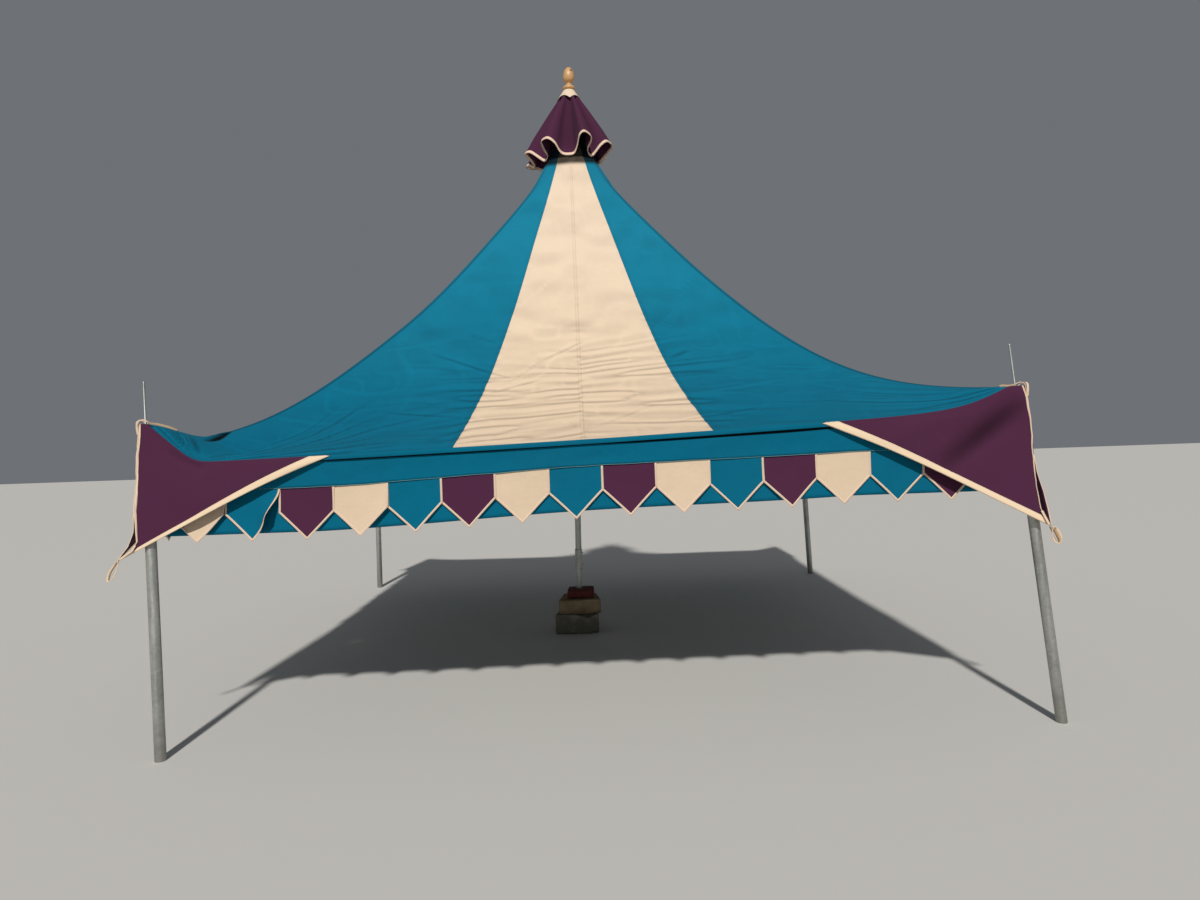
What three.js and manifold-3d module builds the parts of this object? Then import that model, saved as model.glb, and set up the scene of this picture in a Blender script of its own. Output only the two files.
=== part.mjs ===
// Square pavilion tent with a concave four-sided roof, a scalloped valance, corner flaps and a
// fluted cap at the peak, on four pipe legs and a centre pole that stands on stacked blocks.
// Millimetres, +Z up. The origin is on the ground below the middle of the square roof, the front
// side faces -Y and +X is to its right.
import * as THREE from 'three';
import { mergeVertices } from 'three/addons/utils/BufferGeometryUtils.js';
import Module from 'manifold-3d';

const wasm = await Module();
wasm.setup();

// General clearances between pieces that touch
const gap = 0.3;

// Roof: a twelve foot square of canvas
const roofHalf = 1830;
const roofApexZ = 3280;
const roofSteepness = 2;
const roofThickness = 7;
const roofRows = 14;
const ringShare = 0.03;
const ringRounding = 1;
const roundingReach = 0.15;
const hemDrop = 178;
const hemDropOnset = 60;
const hemDropPower = 5;
const slackReach = 2500;

// The cream gore widens downwards: half width = gore[0] + gore[1] s + gore[2] s s
const gore = [28, 790, -280];
const goreShareAtPeak = 0.7;
const goreColumns = 4;
const tealColumns = 6;

// Two kinds of corner: a tight one, where the hem falls steeply and the hip dips just inside, and
// a loose one, where a share of the hem's drop is slack that most of the side takes to reach. A
// dip has its depth, its place as a share of the way down the hip, and its reach in and out.
const tight = { reach: 155, slack: 0, dip: [65, 0.885, 0.42, 0.075], flap: 795 };
const loose = { reach: 214, slack: 0.5, dip: [30, 0.7, 0.3, 0.3], flap: 855 };

// Corners: where each leg stands, where its top is, the roof's height there, and how many quarter
// turns the webbing loop is turned
const corners = {
  front_left: { foot: [-1735, -1920], top: [-1800, -1800], height: 1350, turns: 0, ...tight },
  front_right: { foot: [1925, -1865], top: [1800, -1800], height: 1385, turns: 1, ...loose },
  back_right: { foot: [1855, 1790], top: [1800, 1800], height: 1365, turns: 2, ...tight },
  back_left: { foot: [-1830, 1860], top: [-1800, 1800], height: 1365, turns: 3, ...loose },
};

// Sides of the roof, turned about the middle, with their corners as seen from outside
const sides = {
  front: { turn: 0, left: 'front_left', right: 'front_right' },
  right: { turn: Math.PI / 2, left: 'front_right', right: 'back_right' },
  back: { turn: Math.PI, left: 'back_right', right: 'back_left' },
  left: { turn: -Math.PI / 2, left: 'back_left', right: 'front_left' },
};

// Legs and the pins that stand up out of them
const legRadius = 22;
const legWall = 1.7;
const plugDepth = 30;
const pinRadius = 4.5;
const pinHeight = 180;
const pinHoleRadius = 5.3;

// Centre pole: a wide tube that slides over a narrow one, leaning a little, and the clamp sleeve
// round the foot of the wide tube with its two set screws
const poleFoot = [-80, 50];
const poleTop = [-40, 30];
const poleTopZ = 3135;
const outerTubeFootZ = 391;
const outerRadius = 19.2;
const innerRadius = 16.7;
const innerTubeTopZ = 900;
const sleeveRadius = 23;
const sleeveTopZ = 519;
const screwHeights = [421, 495];
const screwRadius = 3;
const screwHeadRadius = 4.5;
const screwReach = 29;

// Stacked base under the centre pole
const lowerBlock = { x: -98, y: 50, width: 280, depth: 255, foot: 0, head: 125 };
const upperBlock = { x: -78, y: 45, width: 272, depth: 240, foot: 125, head: 215 };
const paver = { x: -71, y: 55, width: 170, depth: 170, foot: 215, head: 265 };
const blockTaper = 0.8;
const blockBow = 16;

// Peak: spindle, cap, collar and finial, as heights on the pole's axis
const spindleRadius = 5;
const spindleTopZ = 3482;
const washerRadius = 17;
const washerThickness = 4;
const capTopZ = 3416;
const capHemZ = 3052;
const capTopRadius = 26;
const capHemRadius = 278;
const capThickness = 8;
const capFlutes = 8;
const capFluteTurn = 0.34;
const capFluteDepth = 0.36;
const capFluteRise = 56;
const capFlare = 1.12;
const capSegments = 80;
const capSteps = [0, 0.14, 0.36, 0.55, 0.72, 0.87, 1];
const collarFootZ = 3362;
const collarThickness = 3;
const collarPoints = 4;
const collarTurn = -1.08;
const collarPointDepth = 30;
const collarSegments = 48;
const finialFootZ = 3422;
const finialHeight = 141;
const finialRadius = 39;

// Valance: a header band and a backing strip, with pointed dags that reach lower
const valanceOut = 1812;
const valanceEnd = 1745;
const valanceThickness = 5;
const headerDrop = 100;
const headerSlack = 5;
const backingDrop = 185;
const dagTipDrop = 218;
const dagShoulderDrop = 103;
const dagPitch = (8 * roofHalf) / 66;
const firstDagEdge = 128.6;
const seamLevelFrom = 0.6;
const seamSag = 18;

// Corner flaps: triangles that hang from the hem and meet in a tip outside each corner
const flapTipOut = 57;
const flapTipZ = 803;
const flapThickness = 5;
const flapEndHeight = 12;
const flapColumns = 6;
const flapRows = 4;

// Webbing loops at the flaps' tips
const loopHalf = [24, 40];
const loopWidth = 22;
const loopThickness = 3;
const loopSwing = -0.4;

const colours = {
  teal: [0x16728c, 0.85, 0],
  purple: [0x502d46, 0.85, 0],
  cream: [0xe4d0b0, 0.85, 0],
  steel: [0x828787, 0.4, 0.9],
  wood: [0xdcaa64, 0.5, 0],
  concrete: [0x6f6a62, 0.95, 0],
  brick: [0x4a2420, 0.9, 0],
};

const tent = new THREE.Group();

function addPiece(name, geometry, colour) {
  const [color, roughness, metalness] = colours[colour];
  const material = new THREE.MeshStandardMaterial({ color, roughness, metalness });
  const mesh = new THREE.Mesh(geometry, material);
  mesh.name = name;
  tent.add(mesh);
  return mesh;
}

// Moves every vertex of a geometry: map takes a vector and changes it
function mapVertices(geometry, map) {
  const position = geometry.attributes.position;
  const point = new THREE.Vector3();
  for (let i = 0; i < position.count; i++) {
    map(point.fromBufferAttribute(position, i));
    position.setXYZ(i, point.x, point.y, point.z);
  }
  return geometry;
}

function toManifold(geometry) {
  const bare = geometry.clone();
  bare.deleteAttribute('normal');
  bare.deleteAttribute('uv');
  const merged = mergeVertices(bare, 1e-3);
  return new wasm.Manifold(new wasm.Mesh({
    numProp: 3,
    vertProperties: new Float32Array(merged.attributes.position.array),
    triVerts: new Uint32Array(merged.index.array),
  }));
}

function cut(geometry, tool) {
  const mesh = toManifold(geometry).subtract(toManifold(tool)).getMesh();
  const result = new THREE.BufferGeometry();
  result.setAttribute('position', new THREE.BufferAttribute(new Float32Array(mesh.vertProperties), 3));
  result.setIndex(new THREE.BufferAttribute(new Uint32Array(mesh.triVerts), 1));
  return result;
}

// Leans a geometry that stands on z = 0 so that its axis runs from foot to top, sections level
function lean(geometry, foot, top, rise) {
  return mapVertices(geometry, (p) => {
    p.x += foot[0] + ((top[0] - foot[0]) * p.z) / rise;
    p.y += foot[1] + ((top[1] - foot[1]) * p.z) / rise;
  });
}

function leanOnPole(geometry) {
  return mapVertices(geometry, (p) => {
    const [x, y] = poleAxis(p.z);
    p.x += x;
    p.y += y;
  });
}

function poleAxis(z) {
  const share = (z - paver.head) / (poleTopZ - paver.head);
  return poleFoot.map((from, i) => from + (poleTop[i] - from) * share);
}

// A hollow tube from one height to another, with its axis on Z
function tube(radius, wall, fromZ, toZ) {
  const section = new THREE.Shape().absarc(0, 0, radius, 0, 2 * Math.PI);
  section.holes.push(new THREE.Path().absarc(0, 0, radius - wall, 0, 2 * Math.PI, true));
  const options = { depth: toZ - fromZ, bevelEnabled: false, curveSegments: 24 };
  return new THREE.ExtrudeGeometry(section, options).translate(0, 0, fromZ);
}

// A turned body from [radius, height] pairs
function turned(profile, segments) {
  const points = profile.map(([r, z]) => new THREE.Vector2(r, z));
  return new THREE.LatheGeometry(points, segments).rotateX(Math.PI / 2);
}

const smooth = (t) => t * t * (3 - 2 * t);
const mix = THREE.MathUtils.lerp;

// Height of a hip at share s of the way from the peak to its corner
function hipHeight(corner, s) {
  const { height, dip: [depth, place, inner, outer] } = corners[corner];
  const rise = (roofApexZ - height) * Math.pow(1 - s, roofSteepness);
  const offset = Math.min(Math.abs(s - place) / (s < place ? inner : outer), 1);
  return height + rise - depth * Math.cos((offset * Math.PI) / 2) ** 2;
}

// How much of the hem's drop is reached at a distance from a corner along the hem
function dropShare(corner, distance) {
  const { reach, slack } = corners[corner];
  const beyond = Math.max(distance - hemDropOnset, 0);
  return mix(Math.tanh(beyond / reach), Math.tanh(beyond / slackReach), slack);
}

// Height of the roof's upper face: q runs from -1 at the left hip to 1 at the right hip
function roofHeight(side, q, s) {
  const { left, right } = sides[side];
  const hips = mix(hipHeight(left, s), hipHeight(right, s), (q + 1) / 2);
  const fromLeft = (1 + q) * roofHalf * s;
  const fromRight = (1 - q) * roofHalf * s;
  return hips - hemDrop * s ** hemDropPower * dropShare(left, fromLeft) * dropShare(right, fromRight);
}

// Place on the roof in plan: a square that rounds off towards the peak, and leans with the pole
function roofPlan(side, q, s) {
  const round = s > ringShare ? Math.exp(-(((s - ringShare) / roundingReach) ** 2)) : 1;
  const angle = (q * Math.PI) / 4;
  const across = mix(q, ringRounding * Math.sin(angle), round) * roofHalf * s;
  const out = mix(1, ringRounding * Math.cos(angle), round) * roofHalf * s;
  const { turn } = sides[side];
  const [peakX, peakY] = poleAxis(ringZ);
  const pull = (1 - s) / (1 - ringShare);
  return [
    across * Math.cos(turn) + out * Math.sin(turn) + peakX * pull,
    across * Math.sin(turn) - out * Math.cos(turn) + peakY * pull,
  ];
}

// Local side coordinates (across, out) to plan
function sidePoint(side, across, out) {
  const { turn } = sides[side];
  return [
    across * Math.cos(turn) + out * Math.sin(turn),
    across * Math.sin(turn) - out * Math.cos(turn),
  ];
}

const meanHeight = Object.values(corners).reduce((sum, c) => sum + c.height, 0) / 4;
const ringZ = meanHeight + (roofApexZ - meanHeight) * Math.pow(1 - ringShare, roofSteepness);
const ringRadius = ringRounding * roofHalf * ringShare;

// Edge of the cream gore as a share of the side's half width
function goreEdge(s) {
  const half = gore[0] + gore[1] * s + gore[2] * s * s;
  return Math.min(half / (roofHalf * s), goreShareAtPeak);
}

// Share s of a row of the roof's mesh: rows lie closer together at the peak and at the hem
function rowShare(down) {
  return ringShare + (1 - ringShare) * mix(down, smooth(down), 0.75);
}

// One roof panel: a flat slab mapped onto the roof between two edges, its faces offset in height
function roofPanel(side, leftEdge, rightEdge, columns, spread) {
  const slab = new THREE.BoxGeometry(1, 1, 1, columns, roofRows, 1);
  return mapVertices(slab, (p) => {
    const s = rowShare(0.5 - p.y);
    const clear = gap / 2 / (roofHalf * s);
    const q = mix(leftEdge(s) + clear, rightEdge(s) - clear, spread(p.x + 0.5));
    const [x, y] = roofPlan(side, q, s);
    p.set(x, y, roofHeight(side, q, s) + (p.z - 0.5) * roofThickness);
  });
}

// The hole for a leg's pin, as a cutter that follows the leg's lean
function pinHole(corner) {
  const { foot, top, height } = corners[corner];
  const bore = new THREE.CylinderGeometry(pinHoleRadius, pinHoleRadius, height * 2, 16);
  bore.rotateX(Math.PI / 2).translate(0, 0, height);
  return lean(bore, foot, top, height);
}

const evenly = (t) => t;
const denseAtRight = (t) => 1 - (1 - t) ** 1.7;
const denseAtLeft = (t) => t ** 1.7;

// The columns of all three panels of a side, at share s, from the left hip to the right hip
function roofColumns(s) {
  const columns = [];
  const edge = goreEdge(s);
  for (let i = 0; i < tealColumns; i++) columns.push(mix(-1, -edge, denseAtLeft(i / tealColumns)));
  for (let i = 0; i <= goreColumns; i++) columns.push(mix(-edge, edge, i / goreColumns));
  for (let i = 1; i <= tealColumns; i++) columns.push(mix(edge, 1, denseAtRight(i / tealColumns)));
  return columns;
}

function addRoofSide(side) {
  const { left, right } = sides[side];
  const centre = roofPanel(side, (s) => -goreEdge(s), goreEdge, goreColumns, evenly);
  addPiece(`roof_${side}_gore`, centre, 'cream');
  const leftPanel = roofPanel(side, () => -1, (s) => -goreEdge(s), tealColumns, denseAtLeft);
  addPiece(`roof_${side}_panel_left`, cut(leftPanel, pinHole(left)), 'teal');
  const rightPanel = roofPanel(side, goreEdge, () => 1, tealColumns, denseAtRight);
  addPiece(`roof_${side}_panel_right`, cut(rightPanel, pinHole(right)), 'teal');
}

// Reinforcing patch round the spindle, which the roof panels run up to
function addPeakPatch() {
  const chord = Math.cos((goreShareAtPeak * Math.PI) / 4 / goreColumns);
  const rim = ringRadius * chord - gap;
  const slope = (roofSteepness * (roofApexZ - meanHeight)) / (ringRounding * roofHalf);
  const hole = spindleRadius + gap;
  const headZ = ringZ + (rim - hole) * slope;
  const profile = [
    [hole, headZ - roofThickness], [rim, ringZ - roofThickness], [rim, ringZ], [hole, headZ],
    [hole, headZ - roofThickness],
  ];
  addPiece('peak_patch', leanOnPole(turned(profile, 24)), 'cream');
  return (radius) => headZ - roofThickness - (radius - hole) * slope;
}

// Four legs of pipe and the steel pins plugged into them
function addLeg(corner) {
  const { foot, top, height } = corners[corner];
  const legTop = height - roofThickness - 2 * gap;
  addPiece(`leg_${corner}`, lean(tube(legRadius, legWall, 0, legTop), foot, top, height), 'steel');
  const plug = legRadius - legWall - gap;
  const tip = height + pinHeight;
  const profile = [
    [0, legTop - plugDepth], [plug, legTop - plugDepth], [plug, legTop], [pinRadius, legTop],
    [pinRadius, tip - pinRadius], [pinRadius * 0.6, tip], [0, tip],
  ];
  addPiece(`pin_${corner}`, lean(turned(profile, 16), foot, top, height), 'steel');
}

// Telescoping centre pole and its clamp sleeve, whose screws press on the wide tube
function addCentrePole(patchUnderside) {
  const topZ = patchUnderside(outerRadius) - gap;
  addPiece('centre_pole_upper', leanOnPole(tube(outerRadius, legWall, outerTubeFootZ, topZ)), 'steel');
  const lower = tube(innerRadius, legWall, paver.head + gap, innerTubeTopZ);
  addPiece('centre_pole_lower', leanOnPole(lower), 'steel');
  const sleeveWall = sleeveRadius - outerRadius - gap;
  let sleeve = tube(sleeveRadius, sleeveWall, outerTubeFootZ, sleeveTopZ);
  screwHeights.forEach((z, index) => {
    const bore = new THREE.CylinderGeometry(screwRadius + gap, screwRadius + gap, sleeveRadius, 12);
    sleeve = cut(sleeve, bore.rotateZ(Math.PI / 2).translate(sleeveRadius, 0, z));
    const profile = [
      [0, outerRadius + gap], [screwRadius, outerRadius + gap], [screwRadius, sleeveRadius + gap],
      [screwHeadRadius, sleeveRadius + gap], [screwHeadRadius, screwReach], [0, screwReach],
    ];
    const screw = turned(profile, 12).rotateY(Math.PI / 2).translate(0, 0, z);
    addPiece(`centre_pole_screw_${index + 1}`, leanOnPole(screw), 'steel');
  });
  addPiece('centre_pole_sleeve', leanOnPole(sleeve), 'steel');
  return topZ;
}

// Stacked base: wall blocks that narrow towards the back, with a bowed front, and a paver
function blockGeometry({ x, y, width, depth, foot, head }) {
  const half = width / 2;
  const back = half * blockTaper;
  const outline = new THREE.Shape();
  outline.moveTo(back, depth / 2);
  outline.lineTo(-back, depth / 2);
  outline.lineTo(-half, blockBow - depth / 2);
  outline.quadraticCurveTo(0, -depth / 2 - blockBow, half, blockBow - depth / 2);
  outline.closePath();
  const options = { depth: head - foot - gap, bevelEnabled: false, curveSegments: 8 };
  return new THREE.ExtrudeGeometry(outline, options).translate(x, y, foot);
}

function addBase() {
  addPiece('base_block_lower', blockGeometry(lowerBlock), 'concrete');
  addPiece('base_block_upper', blockGeometry(upperBlock), 'concrete');
  const { x, y, width, depth, foot, head } = paver;
  const slab = new THREE.BoxGeometry(width, depth, head - foot - gap);
  addPiece('base_paver', slab.translate(x, y, (foot + head - gap) / 2), 'brick');
}

// Spindle: a plug in the pole, a rod up through roof and cap, and a washer that carries the cap
function addSpindle(topZ) {
  const plug = outerRadius - legWall - gap;
  const washerZ = capTopZ - capThickness - gap;
  const profile = [
    [0, topZ - plugDepth], [plug, topZ - plugDepth], [plug, topZ - gap], [spindleRadius, topZ - gap],
    [spindleRadius, washerZ - washerThickness], [washerRadius, washerZ - washerThickness],
    [washerRadius, washerZ], [spindleRadius, washerZ], [spindleRadius, spindleTopZ], [0, spindleTopZ],
  ];
  addPiece('peak_spindle', leanOnPole(turned(profile, 16)), 'steel');
}

// Radius of the cap's outer face at share t of the way from its shoulder to its hem
const capRadius = (t) => mix(capTopRadius, capHemRadius, t ** capFlare);

// Fluted cap: a cone of cloth whose hem swings in and out, and hangs lower where it swings in
function addCap() {
  const hole = spindleRadius + gap;
  const outer = capSteps.map((t) => [capRadius(t), mix(capTopZ, capHemZ, t)]);
  const inner = outer.map(([r, z]) => [r - capThickness * 0.8, z - capThickness]);
  inner[inner.length - 1][1] = capHemZ;
  const profile = [
    [hole, capTopZ - capThickness], ...inner, ...outer.reverse(), [hole, capTopZ],
    [hole, capTopZ - capThickness],
  ];
  const cap = turned(profile, capSegments);
  mapVertices(cap, (p) => {
    const radius = Math.hypot(p.x, p.y);
    const share = Math.max((radius - capTopRadius) / (capHemRadius - capTopRadius), 0);
    const inward = (1 - Math.cos(capFlutes * (Math.atan2(p.y, p.x) - capFluteTurn))) / 2;
    const swing = inward * share ** 1.6;
    p.x *= 1 - capFluteDepth * swing;
    p.y *= 1 - capFluteDepth * swing;
    p.z -= capFluteRise * swing;
  });
  addPiece('peak_cap', leanOnPole(cap), 'purple');
}

// Collar over the top of the cap, with four points, as a square of cloth falls
function addCollar() {
  const hole = spindleRadius + gap;
  const headZ = capTopZ + gap;
  const footRadius = capRadius((capTopZ - collarFootZ) / (capTopZ - capHemZ)) + 1;
  const profile = [
    [hole, headZ], [capTopRadius + 1, headZ], [footRadius, collarFootZ],
    [footRadius + collarThickness, collarFootZ], [capTopRadius + collarThickness, headZ + collarThickness],
    [hole, headZ + collarThickness], [hole, headZ],
  ];
  const collar = turned(profile, collarSegments);
  const slope = (footRadius - capTopRadius) / (headZ - collarFootZ);
  mapVertices(collar, (p) => {
    if (p.z > collarFootZ + 1) return;
    const turns = ((Math.atan2(p.y, p.x) - collarTurn) / (2 * Math.PI)) * collarPoints;
    const lift = collarPointDepth * 2 * Math.abs(turns - Math.round(turns));
    const scale = 1 - (lift * slope) / Math.hypot(p.x, p.y);
    p.x *= scale;
    p.y *= scale;
    p.z += lift;
  });
  addPiece('cap_collar', leanOnPole(collar), 'cream');
}

// Turned finial: a bell-shaped foot, a neck and an acorn, bored for the spindle
function addFinial() {
  const bore = spindleRadius + gap;
  const boreTop = spindleTopZ + gap;
  const at = (share) => finialFootZ + finialHeight * share;
  const profile = [
    [0, boreTop], [bore, boreTop], [bore, at(0)], [14, at(0)], [14, at(0.1)],
    [finialRadius, at(0.12)], [finialRadius, at(0.2)], [30, at(0.27)], [17, at(0.32)],
    [17, at(0.34)], [30, at(0.4)], [38, at(0.5)], [finialRadius, at(0.56)], [36, at(0.64)],
    [28, at(0.76)], [17, at(0.88)], [9, at(0.96)], [0, at(1)],
  ];
  addPiece('finial', leanOnPole(turned(profile, 24)), 'wood');
}

// Upper edge of a valance: straight from column to column of the roof's underside above it,
// between the last two rows of the roof's mesh
function valanceHead(side) {
  const inner = rowShare(1 - 1 / roofRows);
  const share = ((valanceOut + valanceThickness / 2) / roofHalf - inner) / (1 - inner);
  const [innerRow, hemRow] = [inner, 1].map((s) => roofColumns(s).map((q) => new THREE.Vector2(
    q * roofHalf * s,
    roofHeight(side, q, s) - roofThickness - 3 * gap - headerSlack * q ** 6,
  )));
  const points = innerRow.map((point, i) => point.clone().lerp(hemRow[i], share));
  const head = [];
  for (let i = 1; i < points.length; i++) {
    const [from, to] = [points[i - 1], points[i]];
    [-valanceEnd, valanceEnd].forEach((end) => {
      if (from.x < end && end < to.x) head.push(from.clone().lerp(to, (end - from.x) / (to.x - from.x)));
    });
    if (Math.abs(to.x) < valanceEnd) head.push(to);
  }
  return head.sort((one, other) => one.x - other.x);
}

// Valance of one side: a header, a backing strip and the tips of the dags below it
function addValance(side, index) {
  const middle = (2 * index + 1) * roofHalf;
  const seamZ = (across) => {
    const q = THREE.MathUtils.clamp(across / roofHalf, -seamLevelFrom, seamLevelFrom);
    const sag = seamSag * smooth(Math.abs(q) / seamLevelFrom);
    return roofHeight(side, q, 1) - roofThickness - headerDrop - sag;
  };
  const outline = valanceHead(side).reverse();
  outline.push(new THREE.Vector2(-valanceEnd, seamZ(-valanceEnd) - backingDrop));
  const tipHalf = (dagPitch / 2) * ((dagTipDrop - backingDrop) / (dagTipDrop - dagShoulderDrop));
  const firstTip = firstDagEdge + dagPitch / 2 - middle;
  const skipped = Math.ceil((tipHalf - valanceEnd - firstTip) / dagPitch);
  for (let tip = firstTip + skipped * dagPitch; tip + tipHalf < valanceEnd; tip += dagPitch) {
    outline.push(new THREE.Vector2(tip - tipHalf, seamZ(tip - tipHalf) - backingDrop));
    outline.push(new THREE.Vector2(tip, seamZ(tip) - dagTipDrop));
    outline.push(new THREE.Vector2(tip + tipHalf, seamZ(tip + tipHalf) - backingDrop));
  }
  outline.push(new THREE.Vector2(valanceEnd, seamZ(valanceEnd) - backingDrop));
  const options = { depth: valanceThickness, bevelEnabled: false };
  const strip = new THREE.ExtrudeGeometry(new THREE.Shape(outline), options);
  mapVertices(strip, (p) => {
    const [x, y] = sidePoint(side, p.x, valanceOut - valanceThickness / 2 + p.z);
    p.set(x, y, p.y);
  });
  addPiece(`valance_${side}`, strip, 'teal');
}

// Corner flap: hangs from the hem's end face, from the corner to a point along the side, and
// leans out to a tip that both flaps of a corner share
function addFlap(side, hand) {
  const corner = sides[side][hand];
  const flapLength = corners[corner].flap;
  const sign = hand === 'left' ? -1 : 1;
  const face = roofHalf + gap;
  const hemZ = (across) => roofHeight(side, across / roofHalf, 1);
  const slab = new THREE.BoxGeometry(1, 1, 1, flapColumns, flapRows, 1);
  mapVertices(slab, (p) => {
    const fromCorner = sign < 0 ? p.x + 0.5 : 0.5 - p.x;
    const along = fromCorner ** 1.4;
    const down = 0.5 - p.y;
    const topAcross = sign * (roofHalf - along * flapLength);
    const footAcross = sign * mix(roofHalf + flapTipOut, roofHalf - flapLength, along);
    const footOut = mix(face + flapTipOut, face, along);
    const endZ = hemZ(sign * (roofHalf - flapLength)) - flapEndHeight;
    const footZ = mix(flapTipZ, endZ, along);
    const out = mix(face, footOut, down) + (p.z + 0.5) * flapThickness;
    let across = mix(topAcross, footAcross, down);
    if (fromCorner < 1e-6) across = sign * (out - gap / 2);
    const [x, y] = sidePoint(side, across, out);
    p.set(x, y, mix(hemZ(topAcross), footZ, down));
  });
  addPiece(`flap_${corner}_${side}`, slab, 'purple');
}

// Webbing loop sewn at a flap tip: an oval ring that hangs from its highest point and swings
// outwards below the tip
function addTipLoop(corner) {
  const [x, y] = corners[corner].top.map(Math.sign);
  const oval = (path, inset, clockwise) => path.absellipse(
    0, 0, loopHalf[0] - inset, loopHalf[1] - inset, 0, 2 * Math.PI, clockwise, loopSwing,
  );
  const ring = oval(new THREE.Shape(), 0, false);
  ring.holes.push(oval(new THREE.Path(), loopThickness, true));
  const options = { depth: loopWidth, bevelEnabled: false, curveSegments: 16 };
  const loop = new THREE.ExtrudeGeometry(ring, options);
  const [sine, cosine] = [Math.sin(loopSwing), Math.cos(loopSwing)];
  const topY = Math.hypot(loopHalf[0] * sine, loopHalf[1] * cosine);
  const topX = ((loopHalf[0] ** 2 - loopHalf[1] ** 2) * sine * cosine) / topY;
  loop.translate(-topX, -topY, -loopWidth / 2).rotateX(Math.PI / 2);
  loop.rotateZ((corners[corner].turns * Math.PI) / 2);
  const out = roofHalf + flapTipOut + flapThickness / 2;
  loop.translate(x * out, y * out, flapTipZ - gap);
  addPiece(`tip_loop_${corner}`, loop, 'cream');
}

Object.keys(sides).forEach((side, index) => {
  addRoofSide(side);
  addValance(side, index);
  addFlap(side, 'left');
  addFlap(side, 'right');
});
Object.keys(corners).forEach((corner) => {
  addLeg(corner);
  addTipLoop(corner);
});
const patchUnderside = addPeakPatch();
addSpindle(addCentrePole(patchUnderside));
addCap();
addCollar();
addFinial();
addBase();

export default tent;
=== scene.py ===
# %% [markdown]
# # A square pavilion tent
# The tent is mostly cloth: a concave roof of cream gores and teal panels, a valance with pointed
# dags, purple flaps at the corners and a fluted cap over the peak. Each of them is worked out
# here as a curved sheet that lies where the plain solid of the frame lies. Pipes, the turned
# finial and the stacked base follow as profiles carried round an axis.

import math

import bmesh
import bpy
import numpy as np
from mathutils import Matrix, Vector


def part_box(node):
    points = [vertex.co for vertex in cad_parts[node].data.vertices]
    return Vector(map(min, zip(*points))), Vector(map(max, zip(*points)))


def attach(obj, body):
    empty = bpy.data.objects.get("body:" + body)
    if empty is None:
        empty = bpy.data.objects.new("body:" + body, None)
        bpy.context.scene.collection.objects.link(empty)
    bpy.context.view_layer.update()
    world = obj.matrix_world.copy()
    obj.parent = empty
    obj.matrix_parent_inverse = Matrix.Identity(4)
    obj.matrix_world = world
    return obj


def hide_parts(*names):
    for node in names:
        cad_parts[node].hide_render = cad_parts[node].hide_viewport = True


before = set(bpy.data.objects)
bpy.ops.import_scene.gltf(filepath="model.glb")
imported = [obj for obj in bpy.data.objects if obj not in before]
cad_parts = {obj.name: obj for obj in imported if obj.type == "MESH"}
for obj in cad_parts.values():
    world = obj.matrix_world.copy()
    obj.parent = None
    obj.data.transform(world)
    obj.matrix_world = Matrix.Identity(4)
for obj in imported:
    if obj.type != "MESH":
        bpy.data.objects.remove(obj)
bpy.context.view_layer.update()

# %% [markdown]
# ## Driving dimensions
# All lengths are in metres, as in the frame. The roof is a twelve foot square, and everything on
# it is placed by two numbers: q runs across one side from the left hip (-1) to the right hip (1),
# and s runs from the peak (0) down to the hem (1). Two corners are tight: the hem falls steeply
# beside them and the hip dips just inside. The other two are loose, and their hem falls slowly.

# %% Dimensions of the roof
ROOF_HALF = 1.830
APEX = 3.280
STEEPNESS = 2.0
PEAK_SHARE = 0.03
ROUNDING_REACH = 0.15
HEM_DROP = 0.178
HEM_DROP_ONSET = 0.060
HEM_DROP_POWER = 5
SLACK_REACH, DIP_REACH = 2.5, 0.6
TIGHT_ONSET, TIGHT_BEND = 0.030, 9
GORE = (0.028, 0.790, -0.280)
GORE_SHARE_AT_PEAK = 0.7
CANVAS = 0.0012
LEG_RADIUS = 0.022

TIGHT = dict(reach=0.200, slack=0.0, dip=(0.080, 0.885, 0.38, 0.115))
LOOSE = dict(reach=0.214, slack=0.5, dip=(0.030, 0.7, 0.3, 0.3))
CORNERS = {
    "front_left": dict(foot=(-1.735, -1.920), top=(-1.8, -1.8), height=1.350, **TIGHT),
    "front_right": dict(foot=(1.925, -1.865), top=(1.8, -1.8), height=1.385, **LOOSE),
    "back_right": dict(foot=(1.855, 1.790), top=(1.8, 1.8), height=1.365, **TIGHT),
    "back_left": dict(foot=(-1.830, 1.860), top=(-1.8, 1.8), height=1.365, **LOOSE),
}
SIDES = {
    "front": dict(turn=0.0, left="front_left", right="front_right", seed=1),
    "right": dict(turn=math.pi / 2, left="front_right", right="back_right", seed=2),
    "back": dict(turn=math.pi, left="back_right", right="back_left", seed=3),
    "left": dict(turn=-math.pi / 2, left="back_left", right="front_left", seed=4),
}
HAND_SIGN = {"left": -1, "right": 1}

POLE_FOOT, POLE_TOP = np.array([-0.080, 0.050]), np.array([-0.040, 0.030])
POLE_FOOT_Z, POLE_TOP_Z = 0.265, 3.135
print("roof side:", 2 * ROOF_HALF, "m, legs:", [c["height"] for c in CORNERS.values()])


def pole_axis(z):
    """Where the leaning centre pole's axis is at height z: straight from its foot to its top."""
    share = (np.asarray(z, float)[..., None] - POLE_FOOT_Z) / (POLE_TOP_Z - POLE_FOOT_Z)
    return POLE_FOOT + (POLE_TOP - POLE_FOOT) * share


# %% [markdown]
# ## Camera, floor and light
# The camera stands at the photograph's place and angle: at eye height in front of the tent, with
# a wide lens, tipped down by about a degree and rolled by two. The light is one large soft key
# from behind the camera, high up, with an even pale sky round it.

# %% Camera
CAMERA_PLACE = (0.0399, -5.2169, 1.2449)
CAMERA_YAW, CAMERA_PITCH, CAMERA_ROLL = (math.radians(a) for a in (-0.465, -1.073, -1.962))
LENS, SENSOR = 24.754, 36.0


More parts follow.
